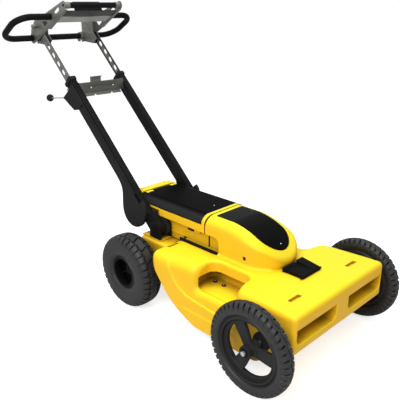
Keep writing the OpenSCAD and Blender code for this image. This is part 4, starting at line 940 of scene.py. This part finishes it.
def front_rim_field(side):
    """Rim ring, hub and three channel spokes of a front wheel."""
    def field(x, y, z):
        out = side * x - FRONT_TRACK
        up, back = -side * (z - FRONT_R), y
        r = np.hypot(up, back)
        bed = round_max(span(r, FRONT_BED_R, FRONT_RIM_R), np.abs(out) - FRONT_RIM_W / 2, SMALL_R)
        flange = round_max(span(r, FRONT_OPENING_R, FRONT_RIM_R), np.abs(out) - FRONT_FLANGE_T / 2, EDGE_R)
        ring = round_min(bed, flange, EDGE_R)
        hub = round_max(r - FRONT_HUB_R, span(out, -FRONT_HUB_IN, FRONT_HUB_OUT), SMALL_R)
        spokes = np.inf
        for i in range(SPOKE_COUNT):
            angle = math.radians(SPOKE_ANGLE + i * 360 / SPOKE_COUNT)
            spokes = np.minimum(spokes, spoke(up, back, out, angle))
        shape = round_min(round_min(ring, spokes, FILLET_R), hub, FILLET_R)
        return cut(shape, r - FRONT_BORE_R, FINE_R)
    return field


def wheel_points(side, track, y, z, out, r, angle):
    """Points of a wheel from their distance outboard, radius and angle back from upright."""
    return to_frame(np.stack([side * (track + out), y + r * np.sin(angle), z + r * np.cos(angle)], axis=-1))


def tyre_profile(outer_r, width, inner_r, bead_half, square, tread_step, wall_step):
    """Closed section of a tyre: points (out, r) from bead to bead over the tread and back inside."""
    mid = (outer_r + inner_r) / 2
    turn = np.linspace(-SECTION_TURN, SECTION_TURN, SECTION_POINTS)
    out = width / 2 * np.sign(np.sin(turn)) * np.abs(np.sin(turn)) ** (2 / square)
    r = mid + (outer_r - mid) * np.sign(np.cos(turn)) * np.abs(np.cos(turn)) ** (2 / square)
    keep = r > inner_r + BEAD_CLEAR
    out, r = out[keep], r[keep]
    picked, gone = [0], 0.0
    for i in range(1, len(out)):
        gone += math.hypot(out[i] - out[i - 1], r[i] - r[i - 1])
        step = tread_step if r[i] > outer_r - TREAD_BAND else wall_step
        if gone >= step or i == len(out) - 1:
            picked.append(i)
            gone = 0.0
    inner = np.linspace(bead_half, -bead_half, BEAD_POINTS)
    inner_rs = np.full(BEAD_POINTS, inner_r + BEAD_SEAT)
    return np.concatenate([out[picked], inner]), np.concatenate([r[picked], inner_rs])


def groove(distance, half, soft):
    return 1 - ramp(distance, half, half + soft)


def fold(turns):
    """Distance from the middle of each turn."""
    return np.abs(turns % 1.0 - 0.5)


def zigzag(turns):
    """Straight wave between -1 and 1, once each turn."""
    return fold(turns) * 4 - 1


def front_tread(turn, out, r):
    """Depth of the front tread: slanted cuts over the shoulders, each second one long, and a zigzag rib."""
    wide = np.abs(out)
    lugs = turn * FRONT_PITCH + np.where(out > 0, 0.0, 0.5)
    length = 2 * math.pi * FRONT_R / FRONT_PITCH
    notch = fold(lugs % 1.0 + LUG_SLANT * wide + 0.5) * length
    start = LUG_START + LUG_SHORTER * (np.floor(lugs) % 2)
    lug = groove(notch, *LUG_GROOVE) * ramp(wide, start, start + LUG_SOFT)
    from_rib = np.abs(out - RIB_WAVE * zigzag(turn * FRONT_PITCH / 2))
    rib = groove(from_rib, *RIB_GROOVE) * (1 - ramp(wide, *RIB_FADE))
    return FRONT_DEPTH * np.maximum(lug, RIB_SHARE * rib) * ramp(r, *FRONT_TREAD_R)


def rear_tread(turn, out, r):
    """Depth of the rear tread: two zigzag grooves, short cuts outside them and slanted cuts between."""
    wide = np.abs(out)
    length = 2 * math.pi * REAR_R / REAR_PITCH
    wave = ZIGZAG_WAVE * zigzag(turn * REAR_PITCH)
    outside = ramp(wide - wave, *ZIGZAG_BAND)
    from_groove = np.abs(wide - ZIGZAG_AT - wave)
    from_outer = fold(turn * REAR_PITCH + wide * OUTER_SLANT + OUTER_PHASE) * length
    from_middle = fold(turn * REAR_PITCH / 2 + out * MIDDLE_SLANT + MIDDLE_PHASE) * 2 * length
    outer = groove(from_outer, *OUTER_GROOVE) * outside
    middle = groove(from_middle, *MIDDLE_GROOVE) * (1 - outside)
    depth = np.maximum(np.maximum(groove(from_groove, *ZIGZAG_GROOVE), outer), middle)
    return REAR_DEPTH * depth * ramp(r, *REAR_TREAD_R)


def build_tyre(node, side, track, y, radius, profile, tread, rings, columns):
    """Sweeps a tyre's section around the axle, with the tread cut in and rings on its walls."""
    turn, out = np.meshgrid(np.arange(columns) / columns, profile[0], indexing="ij")
    r = np.broadcast_to(profile[1], out.shape)
    wall = sum(depth * np.exp(-((r - at) / RING_W) ** 2) for at, depth in rings)
    sunk = np.where(np.abs(out) > RING_FROM, np.sign(out) * wall, 0.0)
    points = wheel_points(side, track, y, radius, out - sunk, r - tread(turn, out, r), turn * 2 * math.pi)
    rows = out.shape[1]
    i, j = np.meshgrid(np.arange(columns), np.arange(rows), indexing="ij")
    ni, nj = (i + 1) % columns, (j + 1) % rows
    faces = np.stack([i * rows + j, ni * rows + j, ni * rows + nj, i * rows + nj], axis=-1).reshape(-1, 4)
    faces = faces if side > 0 else faces[:, ::-1]
    obj = new_object(node + ".skin", points.reshape(-1, 3), faces)
    obj.data.shade_smooth()
    obj.data.set_sharp_from_angle(angle=TYRE_SHARP)
    dress(obj, node)


def build_wheels():
    front_profile = tyre_profile(FRONT_R, FRONT_TYRE_W, FRONT_RIM_R, FRONT_RIM_W / 2, *FRONT_SECTION)
    rear_profile = tyre_profile(REAR_R, REAR_TYRE_W, REAR_RIM_R, REAR_BEAD_HALF, *REAR_SECTION)
    front = (FRONT_TRACK, 0.0, FRONT_R, front_profile, front_tread, FRONT_RINGS, FRONT_COLUMNS)
    rear = (REAR_TRACK, REAR_Y, REAR_R, rear_profile, rear_tread, REAR_RINGS, REAR_COLUMNS)
    for name, side in (("right", -1), ("left", 1)):
        x = sorted((side * (FRONT_TRACK - RIM_BOX_IN), side * (FRONT_TRACK + RIM_BOX_OUT)))
        low, high = (x[0], -RIM_BOX_R, FRONT_R - RIM_BOX_R), (x[1], RIM_BOX_R, FRONT_R + RIM_BOX_R)
        moulding(f"front_{name}_rim", front_rim_field(side), low, high, RIM_CELL)
        build_tyre(f"front_{name}_tyre", side, *front)
        build_tyre(f"rear_{name}_tyre", side, *rear)


# Hard parts keep their solids' shape and get softened edges

WELD = 1e-6
FLAT_ANGLE, BEVEL_ANGLE, SHARP_ANGLE = math.radians(0.6), math.radians(32), math.radians(35)
BEVEL_SEGMENTS, BEVEL_PROFILE = 2, 0.6
# Finishes of nodes that don't take the one named by their slot
SHADES = {
    "crossbar": "mid_metal", "front_right_rim": "rim_plastic", "front_left_rim": "rim_plastic",
    "deck_latch": "latch_plastic", "front_bearings": "dark_metal", "rear_bearings": "dark_metal",
    "hinge_pins": "black_coated_metal",
}
# Widths of the bevels
BEVELS = {
    "arm_right": 2.5, "arm_left": 2.5, "lever_housing": 2.5, "tablet_jaw": 2.0, "arm_collars": 1.2,
    "hinge_brackets": 1.2, "crossbar": 0.8, "cable_hook": 0.8, "side_plate_right": 0.8,
    "side_plate_left": 0.8, "quadrant_plates": 0.8, "strip_right": 0.8, "strip_left": 0.8,
    "tray_slats": 0.8, "bar_saddles": 1.0,
    "top_bar_caps": 0.8, "tilt_plunger": 1.0, "telescope_plunger": 1.0, "front_hub_bolts": 0.8,
    "axle_bosses": 2.0, "pocket_sockets": 0.6, "lid_catch": 1.5, "skid_plate": 1.5, "antenna_box": 1.0,
    "rear_right_rim": 1.2, "rear_left_rim": 1.2, "toothed_discs": 0.5, "bonnet_screws": 0.6, "rear_axle": 1.0,
    "lock_pawls": 0.5, "encoder_disc": 0.3, "encoder_sensor": 1.0, "battery_pack": 3.0, "control_unit": 2.0,
}


def softened(node, width):
    """Makes a copy of a CAD node with bevelled edges stand for the node."""
    bm = bmesh.new()
    bm.from_mesh(frame["nodes"][node].data)
    bmesh.ops.remove_doubles(bm, verts=bm.verts, dist=WELD)
    bmesh.ops.dissolve_limit(bm, angle_limit=FLAT_ANGLE, verts=bm.verts, edges=bm.edges)
    sharp = [e for e in bm.edges if e.is_manifold and e.calc_face_angle(0.0) > BEVEL_ANGLE]
    bmesh.ops.bevel(bm, geom=sharp, offset=width * MM, offset_type="OFFSET", segments=BEVEL_SEGMENTS,
                    profile=BEVEL_PROFILE, affect="EDGES", clamp_overlap=True)
    bmesh.ops.recalc_face_normals(bm, faces=bm.faces)
    points = np.array([v.co for v in bm.verts])
    bm.verts.index_update()
    faces = [[v.index for v in f.verts] for f in bm.faces]
    bm.free()
    obj = new_object(node + ".skin", points, faces)
    obj.data.shade_smooth()
    obj.data.set_sharp_from_angle(angle=SHARP_ANGLE)
    dress(obj, node)


def solids_by_place(bm):
    """Number of the solid that each face belongs to, counted from the front."""
    todo, solids = set(bm.faces), []
    while todo:
        stack = [todo.pop()]
        solid = []
        while stack:
            face = stack.pop()
            solid.append(face)
            for edge in face.edges:
                for other in edge.link_faces:
                    if other in todo:
                        todo.remove(other)
                        stack.append(other)
        solids.append(solid)
    solids.sort(key=lambda faces: sum(f.calc_center_median().y for f in faces) / len(faces))
    return {face: i for i, solid in enumerate(solids) for face in solid}


def two_tone(node, pick, first, second, planes=()):
    """Gives the faces that pick chooses a finish of their own, after cutting the skin at some planes."""
    whole = bpy.data.objects[node + ".skin"]
    other = new_object(node + ".second", np.zeros((0, 3)), [])
    for obj, chosen, finish_name in ((other, True, second), (whole, False, first)):
        bm = bmesh.new()
        bm.from_mesh(whole.data)
        for axis, at in planes:
            geom = bm.verts[:] + bm.edges[:] + bm.faces[:]
            normal = np.eye(3)[axis]
            bmesh.ops.bisect_plane(bm, geom=geom, plane_co=normal * at * MM, plane_no=normal)
        solids = solids_by_place(bm)
        drop = [f for f in bm.faces if pick(f.calc_center_median(), solids[f]) != chosen]
        bmesh.ops.delete(bm, geom=drop, context="FACES")
        bm.to_mesh(obj.data)
        bm.free()
        obj.data.materials.clear()
        obj.data.materials.append(MATERIALS[finish_name])
    other.data.shade_smooth()
    other.data.set_sharp_from_angle(angle=SHARP_ANGLE)
    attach(other, BODY_OF[node])
    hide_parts(node)


def shade_nodes():
    """Gives kept CAD nodes their finish, and some skins a shade of their own."""
    for node, obj in frame["nodes"].items():
        name = SHADES.get(node, SLOT_OF[node])
        if node not in REPLACED:
            obj.data.materials.clear()
            obj.data.materials.append(MATERIALS[name])
        elif node in SHADES:
            bpy.data.objects[node + ".skin"].data.materials[0] = MATERIALS[name]


def build_hard_parts():
    for node, width in BEVELS.items():
        softened(node, width)
    washer = ((0, -WASHER_FACE_X), (0, WASHER_FACE_X))
    two_tone("front_hub_bolts", lambda at, solid: abs(at.x) < WASHER_FACE_X * MM,
             "bright_steel", "black_coated_metal", washer)
    split = ((0, -STRIP_SPLIT_X), (0, STRIP_SPLIT_X))
    for node in ("strip_right", "strip_left"):
        two_tone(node, lambda at, solid: abs(at.x) < STRIP_SPLIT_X * MM,
                 "grey_metal", "black_coated_metal", split)
    two_tone("hinge_brackets", lambda at, solid: at.z < BRACKET_BASE_Z * MM,
             "black_coated_metal", "yellow_shell", ((2, BRACKET_BASE_Z),))
    # Painted shade and light: the front slat takes dark metal for the shade under the bar and jaw, the rear
    # one pale metal as lit.
    two_tone("tray_slats", lambda at, solid: solid == 0, "pale_metal", "dark_metal")
    shade_nodes()


# Stage, lights and camera

FLOOR_HALF = 12.0
FLOOR_GREY = (0.8, 0.8, 0.8, 1)
FLOOR_ROUGH = 0.9
FLOOR_GLOW = 0.70
WHITE = (1, 1, 1, 1)
WORLD_FILL, WORLD_SEEN = 0.4, 1.0
# Area lights: place, target and diameter in metres, power in watts
LIGHTS = (
    ("key", (-2.1, -1.2, 2.3), (0, -0.2, 0.3), 2.0, 63),
    ("overhead", (0.2, 0.1, 3.2), (0, 0, 0.3), 2.6, 34),
)
SENSOR_W, LENS = 36.0, 48.48
CAMERA_TURN, CAMERA_TILT = math.radians(-44.96), math.radians(20.11)
CAMERA_PLACE = (-1435.3, -886.1, 1164.4)


def stage_material(name):
    """Pale matt floor that keeps the shadow and turns white towards the camera."""
    mat, nodes, links, bsdf = shader(name, Base_Color=FLOOR_GREY, Roughness=FLOOR_ROUGH,
                                     Specular_IOR_Level=0.0, Emission_Color=WHITE)
    path = nodes.new("ShaderNodeLightPath")
    scale = nodes.new("ShaderNodeMath")
    scale.operation = "MULTIPLY"
    scale.inputs[1].default_value = FLOOR_GLOW
    links.new(path.outputs["Is Camera Ray"], scale.inputs[0])
    links.new(scale.outputs["Value"], bsdf.inputs["Emission Strength"])
    return mat


def build_stage():
    corners = np.array([[-1, -1, 0], [1, -1, 0], [1, 1, 0], [-1, 1, 0]]) * FLOOR_HALF
    floor = new_object("floor", corners, [[0, 1, 2, 3]])
    floor.data.materials.append(stage_material("floor"))


def build_world():
    """White surroundings that the camera and reflections see in full, and that light the rest weakly."""
    world = bpy.data.worlds.new("studio")
    bpy.context.scene.world = world
    world.use_nodes = True
    nodes, links = world.node_tree.nodes, world.node_tree.links
    nodes.clear()
    path = nodes.new("ShaderNodeLightPath").outputs
    seen = math_node(nodes, links, "MAXIMUM", path["Is Camera Ray"], path["Is Transmission Ray"])
    seen = math_node(nodes, links, "MAXIMUM", seen, path["Is Glossy Ray"])
    level = map_range(nodes, links, seen, To_Min=WORLD_FILL, To_Max=WORLD_SEEN)
    background = nodes.new("ShaderNodeBackground")
    background.inputs["Color"].default_value = WHITE
    links.new(level, background.inputs["Strength"])
    output = nodes.new("ShaderNodeOutputWorld")
    links.new(background.outputs["Background"], output.inputs["Surface"])


def area_light(name, place, target, size, watts):
    light = bpy.data.lights.new(name, "AREA")
    light.shape = "DISK"
    light.size = size
    light.energy = watts
    obj = bpy.data.objects.new(name, light)
    bpy.context.scene.collection.objects.link(obj)
    obj.location = place
    obj.rotation_euler = (Vector(target) - Vector(place)).to_track_quat("-Z", "Y").to_euler()


def build_camera():
    """Camera fitted to the photograph: square frame, no roll, no shift."""
    data = bpy.data.cameras.new("camera")
    data.sensor_width = SENSOR_W
    data.lens = LENS
    obj = bpy.data.objects.new("camera", data)
    bpy.context.scene.collection.objects.link(obj)
    a, e = CAMERA_TURN, CAMERA_TILT
    right = (math.cos(a), math.sin(a), 0)
    up = (-math.sin(a) * math.sin(e), math.cos(a) * math.sin(e), math.cos(e))
    back = (math.sin(a) * math.cos(e), -math.cos(a) * math.cos(e), math.sin(e))
    place = to_frame(CAMERA_PLACE)
    obj.matrix_world = Matrix([(*column, 0) for column in (right, up, back)] + [(*place, 1)]).transposed()
    bpy.context.scene.camera = obj


build_body()
build_wheels()
build_hard_parts()
build_stage()
build_world()
for light_row in LIGHTS:
    area_light(*light_row)
build_camera()
bpy.context.scene.view_settings.view_transform = "Standard"
